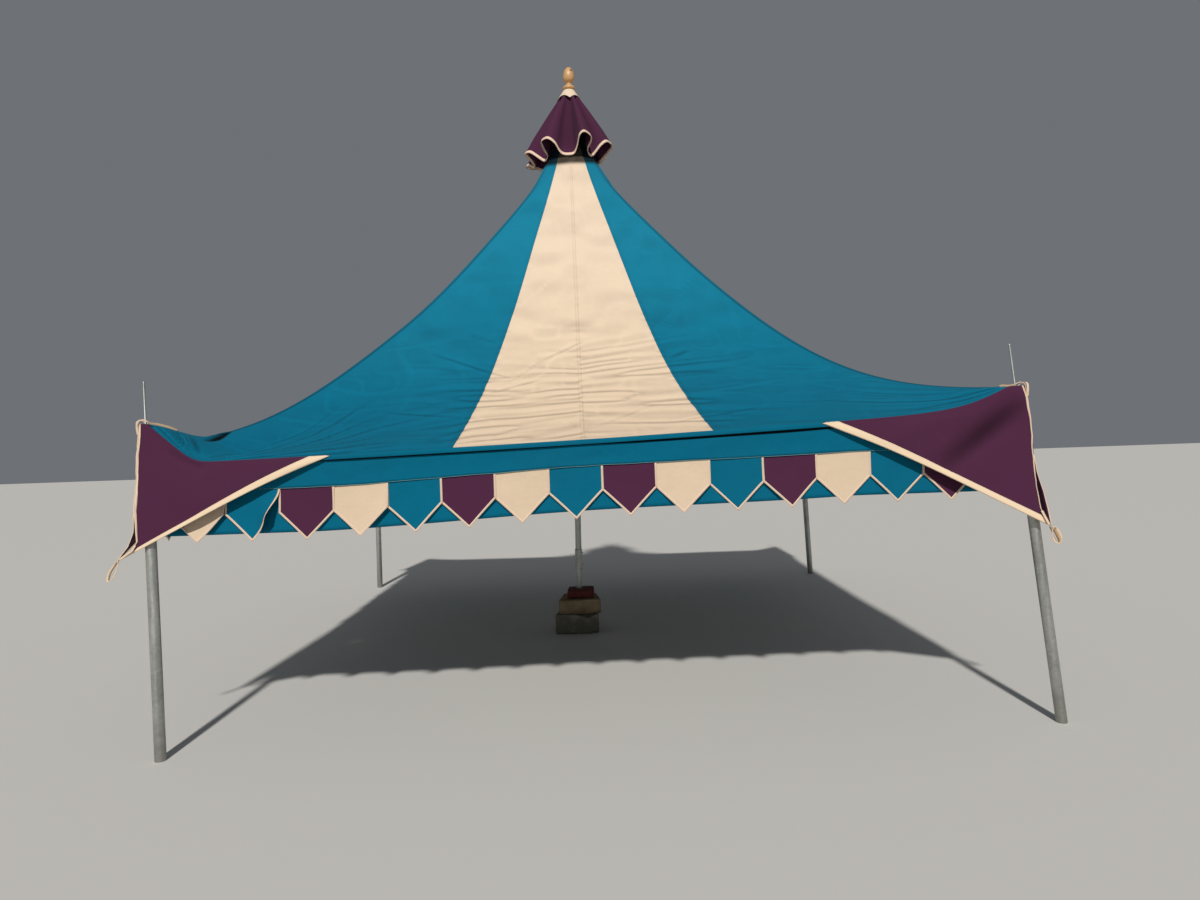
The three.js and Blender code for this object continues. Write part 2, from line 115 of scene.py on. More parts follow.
def camera_axes(yaw, pitch, roll):
    """Right, up and backward directions of a camera that looks along +Y, turned by yaw about Z,
    tipped up by pitch and then rolled about its line of sight."""
    forward = np.array([-math.sin(yaw), math.cos(yaw), 0.0]) * math.cos(pitch) + [0, 0, math.sin(pitch)]
    level = np.array([math.cos(yaw), math.sin(yaw), 0.0])
    upright = np.cross(level, forward)
    right = math.cos(roll) * level + math.sin(roll) * upright
    up = -math.sin(roll) * level + math.cos(roll) * upright
    return right, up, -forward


camera_data = bpy.data.cameras.new("camera")
camera_data.lens, camera_data.sensor_width = LENS, SENSOR
camera_data.clip_end = 200
camera = bpy.data.objects.new("camera", camera_data)
bpy.context.scene.collection.objects.link(camera)
placement = np.eye(4)
placement[:3, :3] = np.array(camera_axes(CAMERA_YAW, CAMERA_PITCH, CAMERA_ROLL)).T
placement[:3, 3] = CAMERA_PLACE
camera.matrix_world = Matrix(placement.tolist())
bpy.context.scene.camera = camera
print("camera at", CAMERA_PLACE, "with a lens of", LENS, "mm")

# %% Light
KEY_ELEVATION, KEY_AZIMUTH = math.radians(40.5), math.radians(-3.5)
KEY_STRENGTH, KEY_SPREAD, KEY_COLOUR = 3.05, math.radians(2.5), (1.0, 0.965, 0.91)
SKY_STRENGTH, SKY_COLOUR = 0.19, (0.82, 0.87, 0.94, 1)
key_data = bpy.data.lights.new("key", "SUN")
key_data.energy, key_data.angle, key_data.color = KEY_STRENGTH, KEY_SPREAD, KEY_COLOUR
key = bpy.data.objects.new("key", key_data)
key.rotation_euler = (math.pi / 2 - KEY_ELEVATION, 0.0, KEY_AZIMUTH)
bpy.context.scene.collection.objects.link(key)

world = bpy.data.worlds.new("studio")
world.use_nodes = True
backdrop = world.node_tree.nodes["Background"]
backdrop.inputs["Color"].default_value = SKY_COLOUR
backdrop.inputs["Strength"].default_value = SKY_STRENGTH
bpy.context.scene.world = world
bpy.context.scene.view_settings.view_transform = "Standard"
print("key light and sky:", KEY_STRENGTH, SKY_STRENGTH)

# %% [markdown]
# ## Surfaces from numbers
# A sheet is a grid of points: an array with rows, columns and the three coordinates. Four
# neighbouring points make a face. One helper turns any number of grids into one object, so every
# piece below only has to say where its points are. Closed shapes wrap their columns round.

# %% Grids to meshes
def grid_part(points, uv=None, index=0, wrap=False, crease_and_shade=None):
    """Faces of a grid of points (rows, columns, 3). uv is in metres, with one more column than
    the points have where the grid wraps round. index is the material's place in the object.
    The crease value is painted shade: how deep each point lies in a fold or in shade, and the cloth is
    painted darker there."""
    points = np.asarray(points, float)
    rows, columns = points.shape[:2]
    spans = columns if wrap else columns - 1
    r, c = np.meshgrid(np.arange(rows - 1), np.arange(spans), indexing="ij")
    after = (c + 1) % columns
    here, below = r * columns, (r + 1) * columns
    faces = np.stack([here + c, below + c, below + after, here + after], -1)
    if uv is None:
        u, v = np.meshgrid(np.arange(spans + 1), np.arange(rows))
        uv = np.stack([u, v], -1) * 0.01
    uv = np.asarray(uv, float)
    corners = np.stack([uv[r, c], uv[r + 1, c], uv[r + 1, c + 1], uv[r, c + 1]], 2)
    crease_and_shade = np.zeros((rows, columns)) if crease_and_shade is None else np.broadcast_to(crease_and_shade, (rows, columns))
    return dict(points=points.reshape(-1, 3), faces=faces.reshape(-1, 4), uv=corners.reshape(-1, 2),
                index=index, crease_and_shade=crease_and_shade.ravel())


def flat_places(across, down):
    """Where a grid's points lie on the flat cloth, from their places across and down, in metres."""
    return np.stack(np.broadcast_arrays(across, down), -1)


def build(name, parts, materials, replaces=(), thickness=0.0, weld=False):
    """One object from grid parts, with its materials, riding on the tent. A thickness makes the
    sheet solid towards its inner side, and weld joins points that lie on each other."""
    starts = np.cumsum([0] + [len(p["points"]) for p in parts])
    points = np.concatenate([p["points"] for p in parts])
    faces = np.concatenate([p["faces"] + start for p, start in zip(parts, starts)])
    mesh = bpy.data.meshes.new(name)
    mesh.vertices.add(len(points))
    mesh.vertices.foreach_set("co", points.astype(np.float32).ravel())
    mesh.loops.add(faces.size)
    mesh.loops.foreach_set("vertex_index", faces.astype(np.int32).ravel())
    mesh.polygons.add(len(faces))
    mesh.polygons.foreach_set("loop_start", np.arange(0, faces.size, 4, dtype=np.int32))
    mesh.polygons.foreach_set("use_smooth", np.ones(len(faces), bool))
    slots = np.concatenate([np.full(len(p["faces"]), p["index"], np.int32) for p in parts])
    mesh.polygons.foreach_set("material_index", slots)
    layer = mesh.uv_layers.new(name="cloth")
    layer.data.foreach_set("uv", np.concatenate([p["uv"] for p in parts]).astype(np.float32).ravel())
    # Painted shade: the crease value of every point, which the cloth finishes paint darker
    painted_shade_layer = mesh.attributes.new("crease_and_shade", "FLOAT", "POINT")
    painted_shade_layer.data.foreach_set("value", np.concatenate([p["crease_and_shade"] for p in parts]).astype(np.float32))
    mesh.update(calc_edges=True)
    if weld:
        shell = bmesh.new()
        shell.from_mesh(mesh)
        bmesh.ops.remove_doubles(shell, verts=shell.verts, dist=1e-5)
        shell.to_mesh(mesh)
        shell.free()
    for material in materials:
        mesh.materials.append(material)
    piece = bpy.data.objects.new(name, mesh)
    bpy.context.scene.collection.objects.link(piece)
    if thickness:
        solid = piece.modifiers.new("thickness", "SOLIDIFY")
        solid.thickness, solid.offset = thickness, -1
    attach(piece, "root")
    if replaces:
        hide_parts(*replaces)
    return piece


def mesh_area(piece):
    """Area of all faces of a piece's own mesh, before its modifiers."""
    areas = np.zeros(len(piece.data.polygons), np.float32)
    piece.data.polygons.foreach_get("area", areas)
    return float(areas.sum())


# %% [markdown]
# ## Noise, folds and small helpers
# Cloth never lies smooth. Two kinds of relief are used: soft noise, which is a lattice of fixed
# random numbers with smooth steps between them, and single folds, which are bell-shaped ridges
# along a line. Both are functions of place, so neighbouring pieces agree where they meet.

# %% Noise
def smooth(t):
    """A step from 0 to 1 that starts and ends level."""
    t = np.clip(t, 0, 1)
    return t * t * (3 - 2 * t)


def mix(a, b, t):
    """The value that lies t of the way from a to b."""
    return a + (b - a) * t


def lattice(x, y, z, seed):
    """A fixed random number from 0 to 1 for each whole-numbered point, by mixing the bits of its
    coordinates."""
    bits = (x * 374761393 + y * 668265263 + z * 1440662683 + seed * 974634777) & 0xFFFFFFFF
    bits = ((bits ^ (bits >> 13)) * 1274126177) & 0xFFFFFFFF
    return ((bits ^ (bits >> 16)) & 0xFFFF) / 65535


def noise(seed, x, y, z=0.0):
    """Smooth random values from -1 to 1 with one swing per unit: the lattice values at the eight
    corners of each cell, blended with smooth steps."""
    x, y, z = np.broadcast_arrays(np.asarray(x, float), np.asarray(y, float), np.asarray(z, float))
    ix, iy, iz = (np.floor(a).astype(np.int64) for a in (x, y, z))
    fx, fy, fz = smooth(x - ix), smooth(y - iy), smooth(z - iz)
    value = 0.0
    for dx in (0, 1):
        for dy in (0, 1):
            for dz in (0, 1):
                weight = abs(1 - dx - fx) * abs(1 - dy - fy) * abs(1 - dz - fz)
                value = value + weight * lattice(ix + dx, iy + dy, iz + dz, seed)
    return 2 * value - 1


def rough(seed, x, y, z=0.0, octaves=4):
    """Noise on noise: each layer is twice as fine and half as strong as the one before."""
    return sum(noise(seed + k, x * 2**k, y * 2**k, np.asarray(z) * 2**k) / 2**k for k in range(octaves))


def ridges(seed, x, y):
    """Thin connected ridges from 0 to 1, where soft noise passes through zero."""
    return (1 - np.minimum(np.abs(noise(seed, x, y)) * 2.2, 1)) ** 3


def fold(x, y, start, end, height, width):
    """A bell-shaped ridge along the line from start to end that fades out at both ends."""
    (ax, ay), (bx, by) = start, end
    length = math.hypot(bx - ax, by - ay)
    along = ((x - ax) * (bx - ax) + (y - ay) * (by - ay)) / length**2
    aside = ((x - ax) * (by - ay) - (y - ay) * (bx - ax)) / length
    fade = np.sin(np.pi * np.clip(along, 0, 1)) ** 0.7
    return height * fade * np.exp(-((aside / width) ** 2))


def unit(vectors):
    """Vectors scaled to length 1."""
    return vectors / np.maximum(np.linalg.norm(vectors, axis=-1, keepdims=True), 1e-12)


def travelled(path):
    """Distance along a path to each of its points."""
    return np.concatenate([[0], np.cumsum(np.linalg.norm(np.diff(path, axis=0), axis=1))])


# %% [markdown]
# ## Shader groups
# Three effects are shared by several finishes. The first is woven canvas: threads of uneven
# thickness make faint streaks along and across the cloth, and handling leaves soft mottling. The
# second is a row of stitches at a given distance from a tape's edge. The third is weathering of
# hard surfaces. Each group only puts out colours and values, and the shader stays outside.

# %% Node helpers
def new_group(name, inputs, outputs):
    """An empty shader group with named sockets. Returns the tree and its input and output nodes."""
    tree = bpy.data.node_groups.new(name, "ShaderNodeTree")
    for label, kind, value in inputs:
        socket = tree.interface.new_socket(name=label, in_out="INPUT", socket_type="NodeSocket" + kind)
        if value is not None:
            socket.default_value = value
    for label, kind in outputs:
        tree.interface.new_socket(name=label, in_out="OUTPUT", socket_type="NodeSocket" + kind)
    return tree, tree.nodes.new("NodeGroupInput"), tree.nodes.new("NodeGroupOutput")


def add(tree, kind, links=(), **values):
    """A node with some of its properties set, and its inputs linked or given values."""
    node = tree.nodes.new(kind)
    for label, value in values.items():
        setattr(node, label, value)
    for socket, source in links:
        if hasattr(source, "is_output"):
            tree.links.new(source, node.inputs[socket])
        else:
            node.inputs[socket].default_value = source
    return node


def maths(tree, operation, a, b=0.0, c=0.0):
    """One arithmetic node, whose inputs are sockets or numbers."""
    return add(tree, "ShaderNodeMath", [(0, a), (1, b), (2, c)], operation=operation).outputs[0]


def stretched(tree, vector, scale):
    """A vector scaled along each axis."""
    return add(tree, "ShaderNodeVectorMath", [(0, vector), (1, scale)], operation="MULTIPLY").outputs[0]


def noise_value(tree, vector, scale, detail=2.0, roughness=0.5):
    """A noise texture's value at a vector."""
    node = add(tree, "ShaderNodeTexNoise", [("Vector", vector), ("Scale", scale), ("Detail", detail),
                                            ("Roughness", roughness)])
    return node.outputs["Fac"]


def ramp(tree, value, low, high, start=0.0, end=1.0):
    """A value mapped from one range to another and held at its ends."""
    node = add(tree, "ShaderNodeMapRange", [("Value", value), ("From Min", low), ("From Max", high),
                                            ("To Min", start), ("To Max", end)])
    return node.outputs["Result"]


def tinted(tree, colour, factor):
    """A colour made lighter or darker by a factor."""
    return add(tree, "ShaderNodeVectorMath", [(0, colour), ("Scale", factor)], operation="SCALE").outputs[0]


# %% Woven canvas group
THREAD_RELIEF, RUMPLE_RELIEF = 0.00035, 0.006
# Strength of the fine blotches and the streaks beside the large blotches, and the mean of all three
FINE_SOIL, STREAK_SOIL = 0.45, 0.5
MEAN_SOIL = 0.5 * (1 + FINE_SOIL + STREAK_SOIL)
canvas_group, given, out = new_group(
    "woven_canvas",
    [("Vector", "Vector", None), ("Place", "Vector", None), ("Colour", "Color", (0.5, 0.5, 0.5, 1)),
     ("Mottle", "Float", 0.10), ("Threads", "Float", 0.06), ("Crease", "Float", 1.0)],
    [("Colour", "Color"), ("Roughness", "Float"), ("Height", "Float")],
)
tree, vector, place = canvas_group, given.outputs["Vector"], given.outputs["Place"]
warp = noise_value(tree, stretched(tree, vector, (900, 14, 1)), 1.0, 1.0)
weft = noise_value(tree, stretched(tree, vector, (14, 900, 1)), 1.0, 1.0)
threads = maths(tree, "ADD", warp, weft)
blotches = noise_value(tree, place, 2.6, 4.0, 0.55)
fine_blotches = noise_value(tree, place, 21.0, 3.0, 0.6)
streaks = noise_value(tree, stretched(tree, vector, (5, 0.7, 1)), 3.0, 3.0)
soiled = maths(tree, "MULTIPLY_ADD", fine_blotches, FINE_SOIL, blotches)
soiled = maths(tree, "MULTIPLY_ADD", streaks, STREAK_SOIL, soiled)
soiled = maths(tree, "SUBTRACT", soiled, MEAN_SOIL)
shade = maths(tree, "MULTIPLY_ADD", soiled, given.outputs["Mottle"], 1.0)
uneven = maths(tree, "SUBTRACT", threads, 1.0)
shade = maths(tree, "MULTIPLY_ADD", uneven, given.outputs["Threads"], shade)
rumple = noise_value(tree, place, 13.0, 3.0, 0.55)
rumple_depth = maths(tree, "MULTIPLY", given.outputs["Crease"], RUMPLE_RELIEF)
rumple_height = maths(tree, "MULTIPLY", rumple, rumple_depth)
relief = maths(tree, "MULTIPLY_ADD", threads, THREAD_RELIEF, rumple_height)
tree.links.new(tinted(tree, given.outputs["Colour"], shade), out.inputs["Colour"])
tree.links.new(ramp(tree, blotches, 0.3, 0.7, 0.78, 0.92), out.inputs["Roughness"])
tree.links.new(relief, out.inputs["Height"])

# %% Stitch group
stitch_group, given, out = new_group(
    "stitches",
    [("Vector", "Vector", None), ("Width", "Float", 0.028), ("Inset", "Float", 0.003),
     ("Pitch", "Float", 0.004)],
    [("Mask", "Float")],
)
tree = stitch_group
parts = add(tree, "ShaderNodeSeparateXYZ", [(0, given.outputs["Vector"])]).outputs
far_edge = maths(tree, "SUBTRACT", given.outputs["Width"], parts[1])
from_edge = maths(tree, "MINIMUM", parts[1], far_edge)
beside_line = maths(tree, "SUBTRACT", from_edge, given.outputs["Inset"])
off_line = maths(tree, "ABSOLUTE", beside_line)
line_mask = ramp(tree, off_line, 0.0004, 0.0009, 1.0, 0.0)
phase = maths(tree, "FRACT", maths(tree, "DIVIDE", parts[0], given.outputs["Pitch"]))
dash = ramp(tree, maths(tree, "ABSOLUTE", maths(tree, "SUBTRACT", phase, 0.5)), 0.30, 0.38, 1.0, 0.0)
tree.links.new(maths(tree, "MULTIPLY", line_mask, dash), out.inputs["Mask"])

# %% Weathering group
weather_group, given, out = new_group(
    "weathering",
    [("Vector", "Vector", None), ("Colour", "Color", (0.5, 0.5, 0.5, 1)),
     ("Dirt", "Color", (0.1, 0.08, 0.06, 1)), ("Scale", "Float", 6.0), ("Amount", "Float", 0.5),
     ("Low", "Float", 0.0), ("High", "Float", 0.2)],
    [("Colour", "Color"), ("Mask", "Float")],
)
tree = weather_group
spots = noise_value(tree, given.outputs["Vector"], given.outputs["Scale"], 6.0, 0.62)
height = add(tree, "ShaderNodeSeparateXYZ", [(0, given.outputs["Vector"])]).outputs[2]
low_down = ramp(tree, height, given.outputs["Low"], given.outputs["High"], 0.35, 0.0)
mask = ramp(tree, maths(tree, "ADD", spots, low_down), 0.48, 0.72)
mask = maths(tree, "MULTIPLY", mask, given.outputs["Amount"])
blend = add(tree, "ShaderNodeMix", data_type="RGBA")
tree.links.new(mask, blend.inputs[0])
tree.links.new(given.outputs["Colour"], blend.inputs[6])
tree.links.new(given.outputs["Dirt"], blend.inputs[7])
tree.links.new(blend.outputs[2], out.inputs["Colour"])
tree.links.new(mask, out.inputs["Mask"])
print("shader groups:", [g.name for g in (canvas_group, stitch_group, weather_group)])

# %% [markdown]
# ## Finishes
# Canvas is rough and has a little sheen, because its fibres catch light at a grazing angle.
# Tapes are the same cloth with a stitched edge. Zinc is a metal with pale and dark crystals and
# lengthwise rub marks, the finial is varnished softwood, and the base is split concrete.

# %% Cloth finishes
def rgb(red, green, blue):
    """A display colour given in 0 to 255 as the linear values that a shader takes."""
    values = np.array([red, green, blue]) / 255
    linear = np.where(values <= 0.04045, values / 12.92, ((values + 0.055) / 1.055) ** 2.4)
    return (*linear.tolist(), 1.0)


def new_finish(name):
    """A new material with its node tree and its shader."""
    material = bpy.data.materials.new(name)
    material.use_nodes = True
    return material, material.node_tree, material.node_tree.nodes["Principled BSDF"]


def place_group(tree, group, **inputs):
    """A shader group in a material, with its values or links."""
    node = tree.nodes.new("ShaderNodeGroup")
    node.node_tree = group
    for label, value in inputs.items():
        if hasattr(value, "is_output"):
            tree.links.new(value, node.inputs[label])
        else:
            node.inputs[label].default_value = value
    return node


# The tone that the crease value paints: painted shade down to near black in folds, crevices and under the
# cap, and a faint painted highlight on crests
CREASE_RANGE, CREASE_SHADE = (-0.3, 3.2), (1.09, 0.04)
# Heights between which a cloth turns to its lighter colour high up, and how far noise moves them
HIGH_COLOUR_HEIGHTS, HIGH_COLOUR_NOISE = (1.25, 2.35), 0.5


def cloth_finish(name, colour, high_colour=None, mottle=0.10, threads=0.06, crease_and_shade=1.0, tape=None):
    """Canvas in one colour that turns to another, lighter one high up, and that is painted darker
    where its crease value holds painted shade: in folds, crevices and under the cap. The crease
    argument sets how deep the rumples of the weave are. tape gives the tape's width where its
    edges are stitched."""
    material, tree, shader = new_finish(name)
    uv = add(tree, "ShaderNodeUVMap", uv_map="cloth").outputs[0]
    place = add(tree, "ShaderNodeTexCoord").outputs["Object"]
    if high_colour:
        up = add(tree, "ShaderNodeSeparateXYZ", [(0, place)]).outputs[2]
        uneven = maths(tree, "MULTIPLY_ADD", noise_value(tree, place, 1.7, 3.0), HIGH_COLOUR_NOISE, up)
        towards_top = ramp(tree, uneven, *(height + HIGH_COLOUR_NOISE / 2 for height in HIGH_COLOUR_HEIGHTS))
        blend = add(tree, "ShaderNodeMix", [(0, towards_top), (6, colour), (7, high_colour)], data_type="RGBA")
        colour = blend.outputs[2]
    weave = place_group(tree, canvas_group, Vector=uv, Place=place, Colour=colour, Mottle=mottle,
                        Threads=threads, Crease=crease_and_shade)
    # Painted shade and a faint painted highlight, from each point's crease value
    depth = add(tree, "ShaderNodeAttribute", attribute_name="crease_and_shade").outputs["Fac"]
    base = tinted(tree, weave.outputs["Colour"], ramp(tree, depth, *CREASE_RANGE, *CREASE_SHADE))
    height_socket = weave.outputs["Height"]
    if tape:
        stitches = place_group(tree, stitch_group, Vector=uv, Width=tape).outputs["Mask"]
        base = tinted(tree, base, ramp(tree, stitches, 0.0, 1.0, 1.0, 0.72))
        height_socket = maths(tree, "MULTIPLY_ADD", stitches, -0.0006, height_socket)
    bump = add(tree, "ShaderNodeBump", [("Height", height_socket), ("Strength", 0.8), ("Distance", 1.0)])
    tree.links.new(base, shader.inputs["Base Color"])
    tree.links.new(weave.outputs["Roughness"], shader.inputs["Roughness"])
    tree.links.new(bump.outputs[0], shader.inputs["Normal"])
    shader.inputs["Sheen Weight"].default_value = 0.02
    shader.inputs["Sheen Roughness"].default_value = 0.5
    shader.inputs["Specular IOR Level"].default_value = 0.10
    return material


TEAL, PURPLE, CREAM = rgb(0, 99, 128), rgb(76, 38, 64), rgb(216, 194, 169)
# Lighter colours that the teal and the cream turn to high up
HIGH_TEAL, HIGH_CREAM = rgb(20, 122, 152), rgb(226, 206, 183)
teal_cloth = cloth_finish("teal_cloth", TEAL, HIGH_TEAL, mottle=0.16)
purple_cloth = cloth_finish("purple_cloth", PURPLE, mottle=0.14, crease_and_shade=0.5)
cream_cloth = cloth_finish("cream_cloth", CREAM, HIGH_CREAM, mottle=0.10)
HEM_TAPE, EDGE_TAPE, CAP_TAPE, STRAP = 0.031, 0.008, 0.019, 0.022
cream_hem = cloth_finish("cream_hem", rgb(236, 212, 182), crease_and_shade=0.3, tape=HEM_TAPE)
cream_edge = cloth_finish("cream_edge", rgb(236, 210, 186), crease_and_shade=0.2, tape=EDGE_TAPE)
cream_edge_wide = cloth_finish("cream_edge_wide", rgb(238, 208, 186), crease_and_shade=0.2, tape=CAP_TAPE)
# The folded edge at the header's foot is a paler teal: a painted highlight along the fold
seam_fold_highlight = cloth_finish("seam_fold_highlight", rgb(112, 160, 168), crease_and_shade=0.1)
# The corner straps are cream tape painted darker to tan: painted shade
strap_painted_shade = cloth_finish("strap_painted_shade", rgb(196, 171, 138), threads=0.3, crease_and_shade=0.3)
cream_strap = cloth_finish("cream_strap", rgb(232, 208, 178), threads=0.2, crease_and_shade=0.3, tape=STRAP)
print("cloth finishes:", len(bpy.data.materials))


# %% Hard finishes
def hard_finish(name, colour, dirt, roughness, metallic=0.0, scale=6.0, amount=0.5, low=0.0, high=0.2,
                stretch=(1, 1, 1), bump_height=0.001, spangle=0.0):
    """A weathered hard surface: noise mixes in dirt, which is rougher, a finer noise streaks the
    colour and makes the bump, and cells of random tone stand for the crystals of zinc."""
    material, tree, shader = new_finish(name)
    place = add(tree, "ShaderNodeTexCoord").outputs["Object"]
    weathered = place_group(tree, weather_group, Vector=place, Colour=colour, Dirt=dirt, Scale=scale,
                            Amount=amount, Low=low, High=high)
    streak = noise_value(tree, stretched(tree, place, stretch), scale * 8, 4.0, 0.6)
    cells = add(tree, "ShaderNodeTexVoronoi", [("Vector", place), ("Scale", 95.0)]).outputs["Color"]
    crystal = add(tree, "ShaderNodeSeparateXYZ", [(0, cells)]).outputs[0]
    tone = maths(tree, "ADD", ramp(tree, streak, 0.25, 0.75, 0.82, 1.14),
                 maths(tree, "MULTIPLY", maths(tree, "SUBTRACT", crystal, 0.5), spangle))
    tree.links.new(tinted(tree, weathered.outputs["Colour"], tone), shader.inputs["Base Color"])
    rough_socket = maths(tree, "MULTIPLY_ADD", weathered.outputs["Mask"], 0.25,
                         ramp(tree, streak, 0.3, 0.7, roughness - 0.08, roughness + 0.08))
    tree.links.new(rough_socket, shader.inputs["Roughness"])
    relief = maths(tree, "MULTIPLY", streak, bump_height)
    bump = add(tree, "ShaderNodeBump", [("Height", relief), ("Distance", 1.0)])
    tree.links.new(bump.outputs[0], shader.inputs["Normal"])
    shader.inputs["Metallic"].default_value = metallic
    return material


zinc = hard_finish("zinc", rgb(178, 180, 176), rgb(104, 102, 94), 0.42, metallic=0.75, scale=5.0,
                   amount=0.45, low=0.0, high=0.18, stretch=(1, 1, 0.05), bump_height=0.0004, spangle=0.16)
concrete_pale = hard_finish("concrete_pale", rgb(158, 154, 138), rgb(84, 80, 68), 0.9, scale=11.0,
                            amount=0.7, bump_height=0.006)
concrete_brown = hard_finish("concrete_brown", rgb(160, 138, 108), rgb(92, 78, 60), 0.9, scale=12.0,
                             amount=0.6, low=0.12, high=0.16, bump_height=0.006)
red_brick = hard_finish("red_brick", rgb(112, 48, 40), rgb(56, 30, 24), 0.88, scale=14.0, amount=0.6,
                        low=0.2, high=0.24, bump_height=0.005)
print("hard finishes:", [m.name for m in (zinc, concrete_pale, concrete_brown, red_brick)])


# %% Wood finish
KNOT, KNOT_COLOUR = (-0.017, 0.003, 3.536), rgb(74, 58, 36)


def wood_finish(name, pale, dark, knot_place):
    """Turned softwood: growth rings seen along the grain, a knot, fine pores and clear varnish."""
    material, tree, shader = new_finish(name)
    place = add(tree, "ShaderNodeTexCoord").outputs["Object"]
    wobble = noise_value(tree, place, 9.0, 3.0)
    along = stretched(tree, place, (1, 1, 0.16))
    rings = add(tree, "ShaderNodeTexWave", [("Vector", along), ("Scale", 42.0), ("Distortion", 3.2),
                                           ("Detail", 3.0), ("Detail Scale", 1.4)], wave_type="BANDS")
    ring = rings.outputs["Fac"]
    pores = noise_value(tree, stretched(tree, place, (1, 1, 0.08)), 900.0, 2.0)
    to_knot = add(tree, "ShaderNodeVectorMath", [(0, place), (1, knot_place)], operation="DISTANCE")
    uneven = maths(tree, "MULTIPLY_ADD", wobble, 0.004, to_knot.outputs["Value"])
    knot = ramp(tree, uneven, 0.008, 0.013, 0.9, 0.0)
    ring_depth = ramp(tree, ring, 0.2, 0.95, 0.0, 0.55)
    grain = maths(tree, "MULTIPLY_ADD", maths(tree, "SUBTRACT", pores, 0.5), 0.25, ring_depth)
    tone = add(tree, "ShaderNodeMix", [(6, pale), (7, dark)], data_type="RGBA")
    tree.links.new(ramp(tree, grain, 0.0, 1.0), tone.inputs[0])
    knotted = add(tree, "ShaderNodeMix", [(0, knot), (6, tone.outputs[2]), (7, KNOT_COLOUR)],
                  data_type="RGBA")
    tree.links.new(knotted.outputs[2], shader.inputs["Base Color"])
    tree.links.new(ramp(tree, pores, 0.3, 0.7, 0.34, 0.5), shader.inputs["Roughness"])
    relief = maths(tree, "MULTIPLY", ring, 0.0003)
    bump = add(tree, "ShaderNodeBump", [("Height", relief), ("Distance", 1.0)])
    tree.links.new(bump.outputs[0], shader.inputs["Normal"])
    shader.inputs["Coat Weight"].default_value = 0.2
    shader.inputs["Coat Roughness"].default_value = 0.35
    return material


varnished_wood = wood_finish("varnished_wood", rgb(218, 174, 118), rgb(160, 100, 58), KNOT)
print("wood finish:", varnished_wood.name)

# %% Floor
FLOOR_HALF, FLOOR_GREY = 30.0, (0.62, 0.61, 0.59, 1)
floor_finish, _, floor_shader = new_finish("floor")
floor_shader.inputs["Base Color"].default_value = FLOOR_GREY
floor_shader.inputs["Roughness"].default_value = 0.9
ends = np.array([-FLOOR_HALF, FLOOR_HALF])
floor_points = np.stack(np.broadcast_arrays(ends, -ends[:, None], 0.0), -1)
floor = build("floor", [grid_part(floor_points)], [floor_finish])
print("floor:", 2 * FLOOR_HALF, "m wide")

# %% [markdown]
# ## The roof's shape
# Stretched canvas that hangs between a high peak and low corners is concave both ways: each hip
# is a curve that is steep at the top and nearly level at its corner, and the hem sags between
# the corners. So the height of a hip is a power of the share that is left to the corner, and
# between two hips the hem's drop is taken away. Near the peak the square plan turns round.

# %% Roof surface without wrinkles
MEAN_HEIGHT = float(np.mean([c["height"] for c in CORNERS.values()]))
RING_Z = MEAN_HEIGHT + (APEX - MEAN_HEIGHT) * (1 - PEAK_SHARE) ** STEEPNESS
PEAK_PLACE = pole_axis(RING_Z)


def hip_height(corner, s):
    """Height of a hip without its dip: its corner's height, plus a rise with the power of the
    share left."""
    height = CORNERS[corner]["height"]
    return height + (APEX - height) * np.maximum(1 - s, 0) ** STEEPNESS


def hip_dip(corner, s, distance):
    """How deep the roof dips just inside a corner: a bell profile along the hip, which fades with
    the distance from the hip."""
    depth, place, inner, outer = CORNERS[corner]["dip"]
    offset = np.minimum(np.abs(s - place) / np.where(s < place, inner, outer), 1)
    return depth * np.cos(offset * np.pi / 2) ** 2 * np.exp(-((np.maximum(distance, 0) / DIP_REACH) ** 1.5))


def drop_share(corner, distance):
    """How much of the hem's drop is reached at a distance from a corner along the hem. At a tight
    corner it falls in a straight line and bends sharply at the end of its reach."""
    c, beyond = CORNERS[corner], np.maximum(distance - HEM_DROP_ONSET, 0)
    if c["slack"] == 0:
        straight = np.maximum(distance - TIGHT_ONSET, 0) / c["reach"]
        return straight / (1 + straight**TIGHT_BEND) ** (1 / TIGHT_BEND)
    return mix(np.tanh(beyond / c["reach"]), np.tanh(beyond / SLACK_REACH), c["slack"])


def roof_height(side, q, s):
    """Height of the roof: the two hips mixed by q, less the hem's drop, which grows with a power
    of s and fades towards both corners."""
    left, right = SIDES[side]["left"], SIDES[side]["right"]
    from_left, from_right = (1 + q) * ROOF_HALF * s, (1 - q) * ROOF_HALF * s
    hips = mix(hip_height(left, s), hip_height(right, s), (q + 1) / 2)
    drop = HEM_DROP * s**HEM_DROP_POWER * drop_share(left, from_left) * drop_share(right, from_right)
    return hips - drop - hip_dip(left, s, from_left) - hip_dip(right, s, from_right)


def to_plan(side, across, outwards):
    """A side's own coordinates as X and Y: across to the right along the side, outwards from the
    middle of the tent."""
    turn = SIDES[side]["turn"]
    return np.stack([across * math.cos(turn) + outwards * math.sin(turn),
                     across * math.sin(turn) - outwards * math.cos(turn)], -1)


def side_point(side, across, outwards, z):
    """Points from a side's own coordinates: across, outwards from the middle, and height."""
    across, outwards, z = np.broadcast_arrays(*(np.asarray(a, float) for a in (across, outwards, z)))
    return np.concatenate([to_plan(side, across, outwards), z[..., None]], -1)


def outward(side):
    """The direction that a side faces."""
    return side_point(side, 0.0, 1.0, 0.0)


def rightward(side):
    """The direction to the right along a side, seen from outside."""
    return side_point(side, 1.0, 0.0, 0.0)


